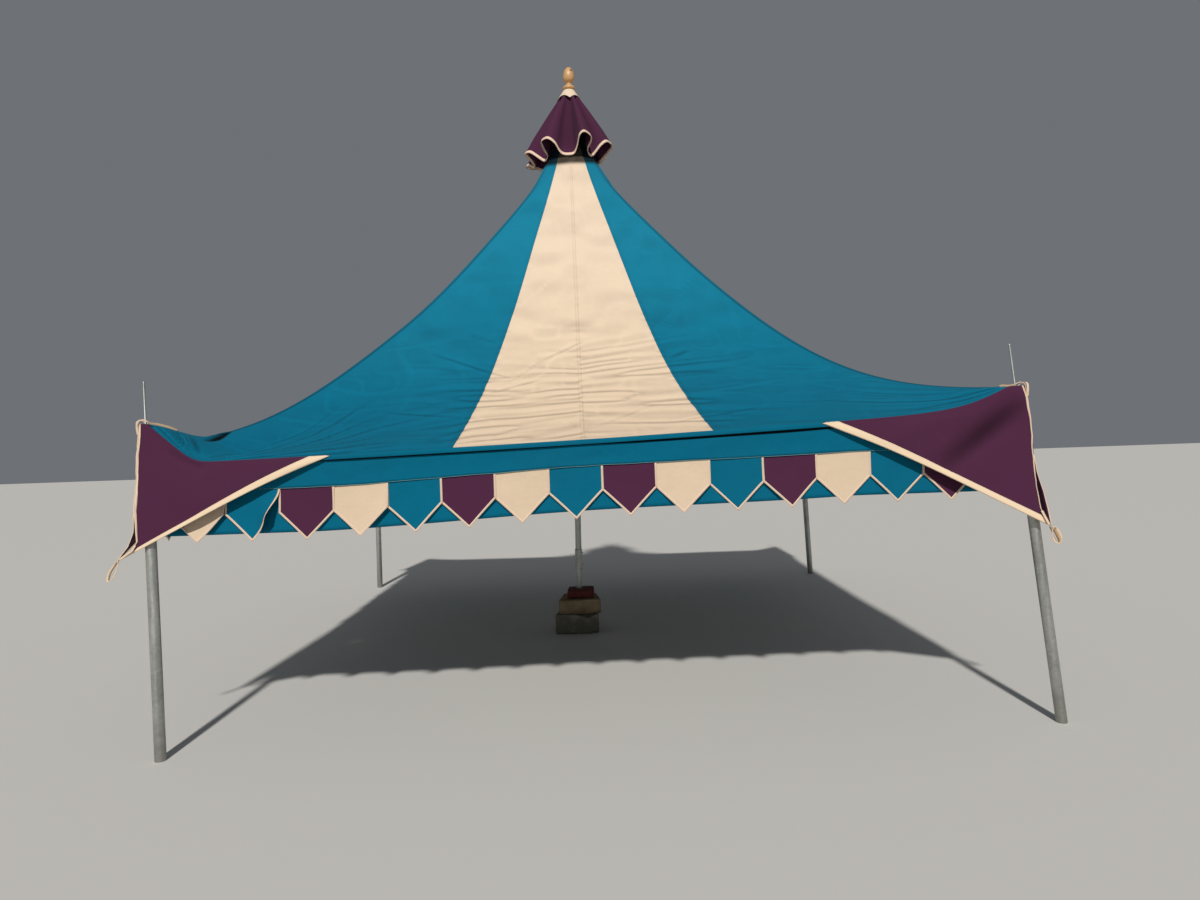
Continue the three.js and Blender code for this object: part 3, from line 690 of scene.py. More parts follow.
def roof_base(side, q, s):
    """Points of the smooth roof. In plan a side is the straight line of a square, which bends to
    an arc near the peak, and the peak is pulled over to the leaning pole."""
    q, s = np.broadcast_arrays(np.asarray(q, float), np.asarray(s, float))
    round_off = np.where(s > PEAK_SHARE, np.exp(-(((s - PEAK_SHARE) / ROUNDING_REACH) ** 2)), 1.0)
    angle = q * np.pi / 4
    across = mix(q, np.sin(angle), round_off) * ROOF_HALF * s
    outwards = mix(1.0, np.cos(angle), round_off) * ROOF_HALF * s
    plan = to_plan(side, across, outwards) + PEAK_PLACE * ((1 - s) / (1 - PEAK_SHARE))[..., None]
    return np.concatenate([plan, roof_height(side, q, s)[..., None]], -1)


def roof_normal(side, q, s):
    """Outward directions of the smooth roof, from small steps along q and s. Towards the hips
    they turn upright, so that two neighbouring sides agree there."""
    step = 1e-3
    along_q = roof_base(side, q + step, s) - roof_base(side, q - step, s)
    along_s = roof_base(side, q, np.minimum(s + step, 1.0)) - roof_base(side, q, s - step)
    normal = unit(np.cross(along_s, along_q))
    upright = 1 - smooth((1 - np.abs(q)) * ROOF_HALF * s / 0.10)
    return unit(mix(normal, np.array([0.0, 0.0, 1.0]), upright[..., None]))


SHARES = np.linspace(0, 1, 2001)
DOWN = travelled(roof_base("front", 0.0 * SHARES, SHARES))


def gore_edge(s):
    """Edge of the cream gore as a share of the side's half width."""
    half = GORE[0] + GORE[1] * s + GORE[2] * s * s
    return np.minimum(half / (ROOF_HALF * s), GORE_SHARE_AT_PEAK)


# %% [markdown]
# ## Wrinkles of the roof
# The pull between the corners presses the lower third of the cloth into level wrinkles, with
# round crests and narrow valleys: the absolute value of soft noise has just that profile. From
# every corner folds fan out, which is the same noise over the angle round the corner. Packing
# leaves fold lines at all angles, and every seam gathers the cloth a little.

# %% Relief of the roof
WRINKLE_PITCH, WRINKLE_HEIGHT = 0.022, 0.0070
FAN_PITCH, FAN_HEIGHT = 0.075, 0.0130
# Where the folds of a tight and a loose corner fan out from, across the side, and their strength
TIGHT_FAN, LOOSE_FAN = (1.59, 1.0), (1.82, 0.62)
# Fold lines from packing: their number, how far aside they start at most and how far down at least
PACKING_FOLDS, PACKED_HALF, PACKED_FROM = 64, 1.3, 0.3
# How many rows up and down the hollows are measured over, and the depth below that paints full painted
# shade
HOLLOW_REACH, HOLLOW_DEPTH = 4, 0.0010
# The pit, the soft bend and the crest beside a tight corner, from end to end: across and outwards, and how
# strong the pit and its painted shade are at each tight corner
PIT, PIT_STRENGTH = ((1.612, 1.703), (1.545, 1.545)), {"front_left": 1.0, "back_right": 0.25}
BEND, CREST = ((1.648, 1.715), (1.585, 1.795)), ((1.670, 1.730), (1.610, 1.820))
LIP_OUT, LIP_UP, PIT_IN, PIT_DOWN = 0.010, 0.002, 0.006, 0.010
DRAWN_IN, DRAWN_REACH = 0.020, 0.045


def creased(value):
    """Round crests with narrow valleys between them, from soft noise."""
    return np.abs(value) ** 0.9 - 0.42


def level_wrinkles(seed, x, h):
    """Wrinkles along the hem, by place across and height over the hem. The two halves of a side,
    which the middle seam parts, have their own."""
    bent = (h + 0.11 * np.abs(x)) / (1 + 0.55 * np.abs(x)) + 0.008 * noise(seed, x / 0.36, h / 0.11)
    bent = bent + 0.003 * noise(seed + 1, x / 0.12, h / 0.05)
    left = creased(noise(seed + 2, x / 0.45, bent / WRINKLE_PITCH))
    right = creased(noise(seed + 3, x / 0.45, bent / WRINKLE_PITCH))
    upwards = smooth((h - 0.004) / 0.035) * (1 - smooth((h - 0.10) / 0.46))
    aside = np.exp(-((np.maximum(np.abs(x) - 0.50, 0) / 0.26) ** 2))
    at_seam = 1 - 0.5 * np.exp(-((x / 0.010) ** 2))
    return mix(left, right, smooth(0.5 + x / 0.024)) * upwards * aside * at_seam


def corner_fan(seed, x, y, start):
    """Folds that fan out from a point on the hem, by place across and distance inwards. They grow
    wider and higher at first and die away within a metre."""
    reach = np.hypot(x - start, y)
    angle = np.arctan2(y, np.abs(x - start))
    bent = angle + 0.05 * noise(seed, reach / 0.25, angle / 0.4)
    height = smooth(reach / 0.14) * np.exp(-((reach / 0.62) ** 2)) * (1 - smooth((angle - 0.75) / 0.25))
    return creased(noise(seed + 1, bent / FAN_PITCH, reach / 0.55)) * height


def roof_relief(side, q, s):
    """Height of the wrinkles over the smooth roof, in metres. It is nothing at the hips and at the
    peak, so that the pieces there still meet, and little at the hem."""
    random = np.random.default_rng(SIDES[side]["seed"])
    x, y = q * ROOF_HALF * s, np.interp(s, SHARES, DOWN)
    h = roof_height(side, q, s) - roof_height(side, np.clip(x / ROOF_HALF, -1, 1), 1.0)
    seed = 10 * SIDES[side]["seed"]
    relief = WRINKLE_HEIGHT * level_wrinkles(400 + seed, x, h)
    for hand, sign in HAND_SIGN.items():
        tight = CORNERS[SIDES[side][hand]]["slack"] == 0
        start, strength = TIGHT_FAN if tight else LOOSE_FAN
        relief += FAN_HEIGHT * strength * corner_fan(500 + seed + sign, x, DOWN[-1] - y, sign * start)
    low, high = np.array([-PACKED_HALF, PACKED_FROM]), np.array([PACKED_HALF, DOWN[-1]])
    for _ in range(PACKING_FOLDS):
        a = random.uniform(low, high)
        angle, length = random.uniform(-0.9, 0.9), random.uniform(0.12, 0.5)
        b = a + length * np.array([math.cos(angle), math.sin(angle)])
        relief += fold(x, y, a, b, random.uniform(-0.0022, 0.0022), random.uniform(0.004, 0.012))
    relief += 0.0050 * noise(seed, x / 0.55, y / 0.45) + 0.0016 * noise(seed + 6, x / 0.15, y / 0.11)
    relief += 0.0009 * ridges(seed + 1, x / 0.33, y / 0.21) + 0.0005 * ridges(seed + 2, x / 0.16, y / 0.12)
    pucker = noise(seed + 4, x / 0.05, y / 0.022) * 0.0007
    for seam in (0.0 * s, gore_edge(s) * ROOF_HALF * s):
        relief += pucker * np.exp(-(((np.abs(x) - seam) / 0.026) ** 2))
    edge = smooth((1 - np.abs(q)) * ROOF_HALF * s / 0.07 - 0.3) * smooth((s - PEAK_SHARE) / 0.06)
    return relief * edge * mix(0.12, 1.0, smooth((DOWN[-1] - y) / 0.05))


def hollows(relief):
    """How far each point of a grid lies below the mean of its surroundings, from -0.3 on a crest
    to 1 in a deep valley. The mean is taken over some rows up and down and a column each way."""
    padded = np.pad(relief, ((HOLLOW_REACH, HOLLOW_REACH), (1, 1)), mode="edge")
    rows, columns = relief.shape
    around = sum(padded[i:i + rows, j:j + columns] for i in range(2 * HOLLOW_REACH + 1) for j in range(3))
    return np.clip((around / (3 * (2 * HOLLOW_REACH + 1)) - relief) / HOLLOW_DEPTH, -0.3, 1)


def corner_folds(side, q, s):
    """Steps of the cloth beside a tight corner, as vectors, and their crease value, which is painted
    shade in the pit and along the bend. The hip folds over into a lip that hangs over a narrow pit,
    and a soft crease runs from there to the bend of the hem. The last hand's breadth is drawn in
    towards the leg."""
    facing, to_right = outward(side), rightward(side)
    q, s = np.broadcast_arrays(np.asarray(q, float), np.asarray(s, float))
    step, crease_and_shade = np.zeros((*q.shape, 3)), np.zeros(q.shape)
    for hand, sign in HAND_SIGN.items():
        corner = SIDES[side][hand]
        if CORNERS[corner]["slack"]:
            continue
        x, out = sign * q * ROOF_HALF * s, ROOF_HALF * s
        (x0, y0), (x1, y1) = PIT
        length = math.hypot(x1 - x0, y1 - y0)
        along = ((x - x0) * (x1 - x0) + (out - y0) * (y1 - y0)) / length**2
        aside = ((x - x0) * (y0 - y1) + (out - y0) * (x1 - x0)) / length
        taper = np.sin(np.pi * np.clip(along, 0, 1)) ** 0.7
        pit = np.exp(-((aside / (0.0115 * taper + 1e-3)) ** 2)) * taper * PIT_STRENGTH[corner]
        lip = np.exp(-(((aside - 0.016) / 0.012) ** 2)) * taper
        lip_step = LIP_OUT * facing + [0, 0, LIP_UP]
        pit_step = PIT_IN * facing + [0, 0, PIT_DOWN]
        step += lip[..., None] * lip_step - pit[..., None] * pit_step
        bend = fold(x, out, *BEND, 1.0, 0.010)
        step[..., 2] += fold(x, out, *CREST, 0.006, 0.014) - 0.007 * bend
        from_point = (ROOF_HALF - x) ** 2 + (ROOF_HALF - out) ** 2
        drawn_in = DRAWN_IN * np.exp(-(from_point / DRAWN_REACH**2))
        step -= drawn_in[..., None] * sign * to_right
        # Painted shadow in the pit under the lip, and painted shade along the bend
        crease_and_shade += 4.2 * pit + 1.1 * bend
    return step, crease_and_shade


def roof_surface(side, q, s, lift=0.0, relief=None):
    """Points of the wrinkled roof, raised by lift along the outward direction."""
    q, s, lift = np.broadcast_arrays(np.asarray(q, float), np.asarray(s, float), np.asarray(lift, float))
    relief = roof_relief(side, q, s) if relief is None else relief
    raised = roof_normal(side, q, s) * (relief + lift)[..., None]
    return roof_base(side, q, s) + corner_folds(side, q, s)[0] + raised


# Shares of the way down to which the cap's painted shade darkens the roof, at the front and at the back
COVERED_SHARES = (0.101, 0.081)


def roof_shade_and_stitches(side, q, s, relief):
    """Crease value of the roof, most of it painted shade: painted shade in its hollows with a faint
    painted highlight on its crests, a band of painted shade along the hip with a line of painted
    shadow at its inner edge, two lines beside the middle seam, and painted shade under the cap."""
    from_hip, from_middle = (1 - np.abs(q)) * ROOF_HALF * s, np.abs(q) * ROOF_HALF * s
    # Painted shade along the hip, and a line of painted shadow at the band's inner edge
    band = 0.6 * (from_hip < 0.0155) + 1.6 * np.exp(-(((from_hip - 0.0168) / 0.0022) ** 2))
    stitched = 0.25 * np.exp(-(((from_middle - 0.0068) / 0.0018) ** 2))
    covered_share = mix(*COVERED_SHARES, 0.5 - 0.5 * np.cos(SIDES[side]["turn"] + q * math.pi / 4))
    painted_cap_shade = 3.1 * (1 - smooth((s - covered_share) / 0.009))
    calm = mix(0.3, 1.0, smooth((s - 0.42) / 0.2))
    return hollows(relief) * calm + (band + stitched) * smooth((s - 0.08) / 0.1) + painted_cap_shade


# %% [markdown]
# ## Roof panels
# The canopy is cut as a cream gore between two teal panels on each side. The pieces are joined
# by flat-felled seams: the edge of one is folded over the other and stitched down twice, which
# leaves a flat band a centimetre wide. The panels below carry that band as a raised edge that
# lies on the gore, and the gore runs on underneath it.

# %% Roof rows and columns
HEM_BAND, HEM_TUCK = 0.026, 0.006
# The hem's section below the roof's edge: metres outwards and metres down
HEM_ROLL = ((0.0012, -0.0012), (0.0022, 0.0008), (0.0026, 0.006), (0.0022, 0.012), (0.0016, 0.0155),
            (0.0006, 0.0172), (-0.0014, 0.0168))
SEAM, HIP_SEAM, MIDDLE_SEAM, RAMP = 0.011, 0.015, 0.006, 0.0012
FELLED = 0.0013
BEND_SHARE, DENSER_AT_ENDS = 0.55, 1.15


def steps(*stretches):
    """Values in stretches of (end, count) from the first number on, each evenly spaced."""
    values = [stretches[0]]
    for end, count in stretches[1:]:
        values.extend(np.linspace(values[-1], end, count + 1)[1:])
    return np.array(values)


def knots(row_values, counts):
    """Columns from a list of positions, each an array down the rows, with a number of even steps
    to each from the one before."""
    columns = [row_values[0]]
    for before, after, count in zip(row_values[:-1], row_values[1:], counts):
        columns.extend(mix(before, after, (i + 1) / count) for i in range(count))
    return np.concatenate(columns, 1)


def across_uv(q, s):
    """Where a roof point lies on the flat cloth: across, and down from the peak, in metres."""
    return flat_places(q * ROOF_HALF * s, np.interp(s, SHARES, DOWN))


def roof_grid(upper_rows, lower_rows, gore_columns, teal_columns):
    """Rows and columns of a side's panels. A seam's width is a share of the side's half width, and
    is kept small beside the panel near the peak. Returns the rows, and for the gore and a teal
    panel the columns and how far each is lifted by the seams."""
    s = steps(PEAK_SHARE, (COVERED_SHARES[1] - 0.002, 4), (COVERED_SHARES[0] + 0.010, 10),
              (BEND_SHARE, upper_rows), (1.0, lower_rows))[:, None]
    edge = gore_edge(s)

    def narrow(width, share):
        return np.minimum(width / (ROOF_HALF * s), share)

    seam, band = narrow(SEAM, 0.10 * (1 - edge)), narrow(HIP_SEAM, 0.12 * (1 - edge))
    middle, rise = narrow(MIDDLE_SEAM, 0.12 * edge), narrow(RAMP, 0.02 * edge)
    half = [0 * s, middle, middle + rise, middle + 5 * rise, edge + 0.8 * seam]
    right = knots(half, (1, 1, 1, gore_columns))
    right_lift = np.interp(np.arange(right.shape[1]), [0, 1, 2], [0.4 * FELLED, FELLED, 0])
    gore = np.concatenate([-right[:, :0:-1], right], 1), np.concatenate([right_lift[:0:-1], right_lift])
    dense = mix(edge + seam, 1.0, 0.68)
    stops = [np.ones_like(s), 1 - band, 1 - band - rise, 1 - band - 5 * rise, dense, edge + seam + rise,
             edge + seam, edge, edge - 0.3 * rise]
    teal = knots(stops, (1, 1, 1, teal_columns * 6 // 11, teal_columns * 5 // 11, 1, 1, 1))
    last = teal.shape[1] - 1
    teal_lift = np.interp(np.arange(last + 1), [0, 1, 2, last - 3, last - 2, last - 1, last],
                          [FELLED, FELLED, 0, 0, FELLED * 1.4, FELLED * 1.4, 0.3 * FELLED])
    return s, gore, (teal, teal_lift)


# %% Roof panels and hem
def detail(side, near, far):
    """Counts for a side's mesh: near for the front, which is seen from close by, else far."""
    return near if side == "front" else far


def roof_panel(side, q, s, lift):
    """One panel of the roof as a grid, with its flat place on the cloth and its crease values of painted
    shade.
    """
    q, s = np.broadcast_arrays(q, s)
    relief = roof_relief(side, q, s)
    crease_and_shade = roof_shade_and_stitches(side, q, s, relief) + corner_folds(side, q, s)[1]
    return grid_part(roof_surface(side, q, s, lift, relief), across_uv(q, s), crease_and_shade=crease_and_shade)


def hem_grid(side):
    """The hem as a grid: a strip that lies on the roof's edge, turns over it and hangs down. Its
    columns lie closer together towards the corners."""
    even = np.linspace(-1, 1, detail(side, 401, 241))
    q = np.sign(even) * (1 - (1 - np.abs(even)) ** DENSER_AT_ENDS)
    edge_line = roof_surface(side, q, 1.0)
    inner_line = roof_surface(side, q, 1 - HEM_TUCK / ROOF_HALF, 0.0008)
    strip = [inner_line, mix(inner_line, edge_line, 0.6) + [0, 0, 0.0016]]
    strip += [edge_line + outward(side) * out - [0, 0, drop] for out, drop in HEM_ROLL]
    down = np.linspace(0, HEM_BAND, len(strip))[:, None]
    return grid_part(np.stack(strip), flat_places(q[None, :] * ROOF_HALF, down))


# %% Roof pieces
# Rows above and below the bend, then columns of half a gore and of a teal panel
NEAR_ROOF, FAR_ROOF = (50, 160, 26, 76), (30, 100, 14, 40)
for side, facts in SIDES.items():
    s, (gore_q, gore_lift), (teal_q, teal_lift) = roof_grid(*detail(side, NEAR_ROOF, FAR_ROOF))
    gore = build(f"roof_{side}_cream_gore", [roof_panel(side, gore_q, s, gore_lift - 0.0004)],
                 [cream_cloth], [f"roof_{side}_gore"], CANVAS)
    mesh_area(gore)
    for hand, sign in HAND_SIGN.items():
        order = slice(None) if sign < 0 else slice(None, None, -1)
        grid = roof_panel(side, (sign * teal_q)[:, order], s, teal_lift[order])
        panel = build(f"roof_{side}_teal_{hand}", [grid], [teal_cloth],
                      [f"roof_{side}_panel_{hand}"], CANVAS)
        mesh_area(panel)
    hem = build(f"roof_{side}_hem", [hem_grid(side)], [teal_cloth], (), CANVAS)

# %% [markdown]
# ## Tapes and turned shapes
# Two more makers serve the rest. A ribbon is a flat closed section carried along a path, for
# bindings, straps and loops. A lathe carries a profile of radius and height round an axis that
# may lean, for pipes, pins and the finial. Sharp corners of a profile are eased first, so that
# they catch a thin line of light.

# %% Ribbons and lathes
RIBBON_SECTION = np.array([(-0.5, -0.4), (-0.46, 0.5), (0.0, 0.56), (0.46, 0.5), (0.5, -0.4),
                           (0.0, -0.56)])


def ribbon(path, wide, width, thickness, closed=False):
    """A tape along a path (n, 3). wide gives the direction of its width at each point. The six
    points of its section turn round the path, and an open tape gets closed ends."""
    path, wide = np.asarray(path, float), unit(np.asarray(wide, float))
    if closed:
        tangent = unit(np.roll(path, -1, 0) - np.roll(path, 1, 0))
    else:
        tangent = unit(np.gradient(path, axis=0))
    normal = unit(np.cross(wide, tangent))
    width = np.broadcast_to(np.asarray(width, float), len(path))[:, None]
    across = RIBBON_SECTION[None, :, 0] * width
    up = RIBBON_SECTION[None, :, 1] * thickness
    rows = path[:, None] + wide[:, None] * across[..., None] + normal[:, None] * up[..., None]
    travel = travelled(path)
    offset = np.append(RIBBON_SECTION[:, 0], RIBBON_SECTION[0, 0]) + 0.5
    if closed:
        rows = np.concatenate([rows, rows[:1]])
        travel = np.append(travel, travel[-1] + np.linalg.norm(path[-1] - path[0]))
        width = np.append(width, width[:1], 0)
    else:
        ends = [np.broadcast_to(rows[i].mean(0), (1, 6, 3)) for i in (0, -1)]
        rows = np.concatenate([ends[0], rows, ends[1]])
        doubled_ends = [0, *range(len(path)), -1]
        travel, width = travel[doubled_ends], width[doubled_ends]
    return grid_part(rows, flat_places(travel[:, None], offset[None, :] * width), wrap=True)


def eased(profile, size):
    """A profile whose inner corners are each replaced by three points on a small curve."""
    profile = np.asarray(profile, float)
    points = [profile[0]]
    for before, corner, after in zip(profile[:-2], profile[1:-1], profile[2:]):
        reach = min(size, 0.4 * np.linalg.norm(before - corner), 0.4 * np.linalg.norm(after - corner))
        one, two = corner + reach * unit(before - corner), corner + reach * unit(after - corner)
        points += [one, 0.25 * one + 0.5 * corner + 0.25 * two, two]
    return np.array(points + [profile[-1]])


def lathe(profile, axis, segments=64):
    """A profile of (radius, height) turned about an axis, which is a function from height to the
    axis' place in plan."""
    profile = np.asarray(profile, float)
    angle = np.linspace(0, 2 * np.pi, segments, endpoint=False)
    radius, z = np.broadcast_arrays(profile[:, :1], profile[:, 1:])
    radius = np.broadcast_to(radius, (len(profile), segments))
    z = np.broadcast_to(z, (len(profile), segments))
    plan = axis(z) + np.stack([radius * np.cos(angle), radius * np.sin(angle)], -1)
    around = np.append(angle, 2 * np.pi)[None, :] * np.maximum(profile[:, :1], 0.004)
    uv = flat_places(around, travelled(profile)[:, None])
    return grid_part(np.concatenate([plan, z[..., None]], -1), uv, wrap=True)


def leaning(foot, top, height):
    """The axis of a leg: straight from its foot on the ground to its top."""
    foot, top = np.array(foot), np.array(top)
    return lambda z: foot + (top - foot) * (np.asarray(z, float)[..., None] / height)


# %% [markdown]
# ## Valance
# Under the hem hangs a teal header a hand high, and from its lower edge two layers: a plain
# backing strip and in front of it a row of pointed dags in three colours. The header and the
# backing are plain sheets with soft waves. A dag is a sheet too: its half width is even down to
# its shoulders and then falls in a straight line to the tip. It hangs free, so it curls.

# %% Valance dimensions
ROOF_THICKNESS = 0.007
HEADER_DROP, BACKING_DROP = 0.100, 0.185
DAG_TIP, DAG_SHOULDER = 0.218, 0.103
DAG_COUNT = 66
DAG_PITCH = 8 * ROOF_HALF / DAG_COUNT
FIRST_DAG_EDGE = 0.1286
SEAM_LEVEL_FROM, SEAM_SAG = 0.6, 0.018
VALANCE_END, VALANCE_COLUMNS = 1.745, (241, 161)
BACKING_OUT, DAG_OUT, HEADER_OUT, HEADER_TOP_OUT = 1.8050, 1.8105, 1.8150, 1.8195
DAG_HALF = 0.115
DAG_COLOURS = ("cream", "teal", "purple")
DAG_TAPE, DAG_TAPE_THICK = 0.0085, 0.0022
# The first four dags of the front, as the wind has left them: swing, twist, roll and curl
FIRST_DAGS = ((0.030, -0.022, 0.0, 0.10), (0.022, -0.006, 0.0, 0.40), (0.016, -0.010, 0.004, 0.0),
              (0.022, 0.018, 0.012, 0.0))
# The folded edge at the header's foot: metres outwards and metres down
SEAM_LIP = ((0.0006, 0.0), (0.0010, 0.0016), (-0.0012, 0.0010))


def hem_height(side, across):
    """Height of the roof's edge over a place along its side."""
    return roof_height(side, np.clip(np.asarray(across, float) / ROOF_HALF, -1, 1), 1.0)


def seam_height(side, across):
    """Height of the header's lower edge, which sags a little towards the corners and runs on
    level there."""
    level = SEAM_LEVEL_FROM * ROOF_HALF
    sag = SEAM_SAG * smooth(np.abs(across) / level)
    return hem_height(side, np.clip(across, -level, level)) - ROOF_THICKNESS - HEADER_DROP - sag


def header_out(side, across, down):
    """How far out the header lies at a share of its height, with slanting waves."""
    seed = 70 + SIDES[side]["seed"]
    waves = 0.0022 * noise(seed, across / 0.16 + down * 0.9, down * 1.4)
    waves = waves + 0.0009 * noise(seed + 9, across / 0.05, down * 3)
    held = np.sin(np.pi * np.clip(down, 0, 1)) ** 0.6
    return mix(HEADER_TOP_OUT, HEADER_OUT, smooth(down * 1.3)) + waves * held


def dags_of(side):
    """Running number and middle of every dag that fits between the ends of a side's valance."""
    index = list(SIDES).index(side)
    middle = (2 * index + 1) * ROOF_HALF
    numbers = np.arange(DAG_COUNT)
    tips = FIRST_DAG_EDGE + (numbers + 0.5) * DAG_PITCH - middle
    inside = np.abs(tips) + DAG_PITCH / 2 < VALANCE_END + 0.02
    return list(zip(numbers[inside], tips[inside]))


def dag_half(depth):
    """Half width of a dag at a depth below its seam: nearly even, then straight to the tip."""
    taper = np.clip((depth - DAG_SHOULDER) / (DAG_TIP - DAG_SHOULDER), 0, 1)
    return mix(DAG_HALF, 0.0005, taper ** 0.97)


def dag_shape(side, number, tip):
    """The curled surface of one dag as a function of the distance from its middle and the depth.
    It swings out below with a power of the depth, twists and rolls in at its edges."""
    random = np.random.default_rng(1000 + 7 * int(number))
    swing, twist = random.uniform(0.004, 0.020), random.uniform(-0.011, 0.011)
    roll, bend = random.uniform(-0.008, 0.012), random.uniform(-0.5, 0.5)
    slip, curl = random.uniform(-0.004, 0.004), 0.0
    if side == "front" and number < len(FIRST_DAGS):
        swing, twist, roll, curl = FIRST_DAGS[int(number)]
    elif abs(tip) > 1.0:
        swing, twist, roll = 0.3 * swing, 0.4 * twist, 0.4 * roll

    def surface(aside, depth):
        aside, depth = np.broadcast_arrays(np.asarray(aside, float), np.asarray(depth, float))
        share, edge = np.clip(depth / DAG_TIP, 0, 1), aside / DAG_HALF
        out = DAG_OUT + 0.0016 * edge
        out = out + swing * share**1.7 + twist * edge * share**1.2
        out = out + roll * edge**2 * share * (edge * bend + 1)
        out = out + 0.0016 * noise(300 + int(number), aside / 0.07, depth / 0.09) * smooth(share * 2.5)
        rolled = curl * smooth(share * 1.7) * np.maximum(edge, 0)
        out = out + 0.16 * rolled * np.maximum(edge, 0) ** 0.5
        across = tip + aside * (1 - rolled) + slip * share**1.5
        drop = depth * (1 - 0.5 * (swing * 1.7 * share**0.7 / DAG_TIP) ** 2)
        return side_point(side, across, out, seam_height(side, tip + aside) - drop)

    return surface


def dag_parts(side, number, tip):
    """The cloth of one dag and the tape round its edge, as grids."""
    surface = dag_shape(side, number, tip)
    upper_rows, tip_rows, columns = detail(side, (10, 14, 19), (7, 10, 13))
    depth = steps(-0.006, (DAG_SHOULDER, upper_rows), (DAG_TIP - 0.0005, tip_rows))
    across = np.linspace(-1, 1, columns)
    aside = across[None, :] * (dag_half(np.maximum(depth, 0)) - 0.0012)[:, None]
    cloth = grid_part(surface(aside, depth[:, None]), flat_places(aside + number, depth[:, None]))
    down = steps(0.002, (DAG_SHOULDER - 0.006, 9), (DAG_SHOULDER + 0.006, 4), (DAG_TIP - 0.010, 13),
                 (DAG_TIP, 5))
    edge = np.stack([-dag_half(down), down], -1)
    edge = np.concatenate([edge, (edge * [-1, 1])[::-1][1:]])
    heading = unit(np.gradient(edge, axis=0))
    inward = np.stack([-heading[:, 1], heading[:, 0]], -1)
    inward *= np.sign(np.sum(inward * (np.array([0, 0.07]) - edge), 1))[:, None]
    line, beside = edge + inward * DAG_TAPE * 0.5, edge + inward * DAG_TAPE * 0.9
    path = surface(line[:, 0], line[:, 1])
    tape = ribbon(path, surface(beside[:, 0], beside[:, 1]) - path, DAG_TAPE, DAG_TAPE_THICK)
    area = 2 * DAG_TIP * float(dag_half(np.linspace(0, DAG_TIP, 400)).mean())
    return cloth, tape, area


# %% Header and backing
def valance_header(side):
    """The header, painted dark near its top as painted shade where the hem shades it, and the folded
    edge at its foot, whose pale colour is a painted highlight along the fold. They are one sheet in
    the flat."""
    across = np.linspace(-VALANCE_END, VALANCE_END, detail(side, *VALANCE_COLUMNS))[None, :]
    bands = detail(side, ((0.08, 2), (0.26, 12), (1.0, 8)), ((0.08, 1), (0.26, 7), (1.0, 6)))
    down = steps(0.0, *bands)[:, None]
    # Painted shade under the hem: the header is painted dark from its top down to a wavy line
    crevice = 0.128 + 0.030 * noise(77, across / 0.45, 0)
    crevice = crevice + 0.035 * smooth(across / 0.3) * (1 - smooth((across - 0.8) / 0.4))
    shaded = 3.2 * (1 - smooth((down - crevice) / 0.03 + 0.5))
    top, foot = hem_height(side, across) - 0.008, seam_height(side, across)
    ripple = 0.0012 * noise(80 + SIDES[side]["seed"], across / 0.09, 0)
    points = side_point(side, across, header_out(side, across, down), mix(top, foot + ripple, down))
    grid = grid_part(points, flat_places(across, down * 0.1), crease_and_shade=shaded)
    header = build(f"valance_{side}_header", [grid], [teal_cloth], [f"valance_{side}"],
                   CANVAS)
    lip = np.stack([points[-1] + outward(side) * out - [0, 0, drop] for out, drop in SEAM_LIP])
    lip_grid = grid_part(lip, flat_places(across, np.array([0, 0.002, 0.004])[:, None]))
    lip_piece = build(f"valance_{side}_seam_fold_highlight", [lip_grid], [seam_fold_highlight], (), 0.0006)
    return header


def valance_backing(side):
    """The plain strip behind the dags, with soft upright waves that grow from the seam down."""
    across = np.linspace(-VALANCE_END, VALANCE_END, detail(side, *VALANCE_COLUMNS))[None, :]
    depth = np.linspace(-0.004, BACKING_DROP, 12)[:, None]
    sway = 0.0030 * noise(90 + SIDES[side]["seed"], across / 0.30, depth / 0.25)
    sway = sway + 0.0016 * noise(95 + SIDES[side]["seed"], across / 0.11, depth / 0.3)
    points = side_point(side, across, BACKING_OUT + sway * smooth(depth / 0.1),
                        seam_height(side, across) - depth)
    backing = build(f"valance_{side}_backing", [grid_part(points, flat_places(across, depth))],
                    [teal_cloth], (), CANVAS)


# %% Rows of dags
CLOTHS = {"teal": (teal_cloth, "teal_canvas"), "purple": (purple_cloth, "purple_canvas"),
          "cream": (cream_cloth, "cream_canvas")}


def valance_dags(side):
    """The dags of a side: a piece for each colour, and one for the tapes round all their edges."""
    cloths, tapes, areas = {c: [] for c in DAG_COLOURS}, [], {c: 0.0 for c in DAG_COLOURS}
    for number, tip in dags_of(side):
        colour = DAG_COLOURS[number % 3]
        cloth, tape, area = dag_parts(side, number, tip)
        cloths[colour].append(cloth)
        tapes.append(tape)
        areas[colour] += area
    binding = build(f"valance_{side}_binding", tapes, [cream_edge], weld=True)
    for colour in DAG_COLOURS:
        finish, slot = CLOTHS[colour]
        dags = build(f"valance_{side}_dags_{colour}", cloths[colour], [finish], (), 0.0009)


for side in SIDES:
    header = valance_header(side)
    valance_backing(side)
    valance_dags(side)
print("dags:", {side: len(dags_of(side)) for side in SIDES})

# %% [markdown]
# ## Corner flaps
# At each corner two purple triangles hang from the hem and meet in one low tip outside the leg.
# Each is a sheet between two curves: the roof's edge above, with every bend of it, and the line
# from the tip back to the hem below. A cream hem runs along the lower edge and ends in a point,
# and another tape covers the edge at the corner. The pull to the tip draws soft valleys.

# %% Flap shape
FLAP_OUT = 1.8340
FLAP_TIP_OUT, LEG_CLEARANCE = 0.055, 0.003
FLAPS = {
    "front_left": dict(length=0.795, tip=0.803), "front_right": dict(length=0.850, tip=0.812),
    "back_right": dict(length=0.795, tip=0.803), "back_left": dict(length=0.850, tip=0.803),
}
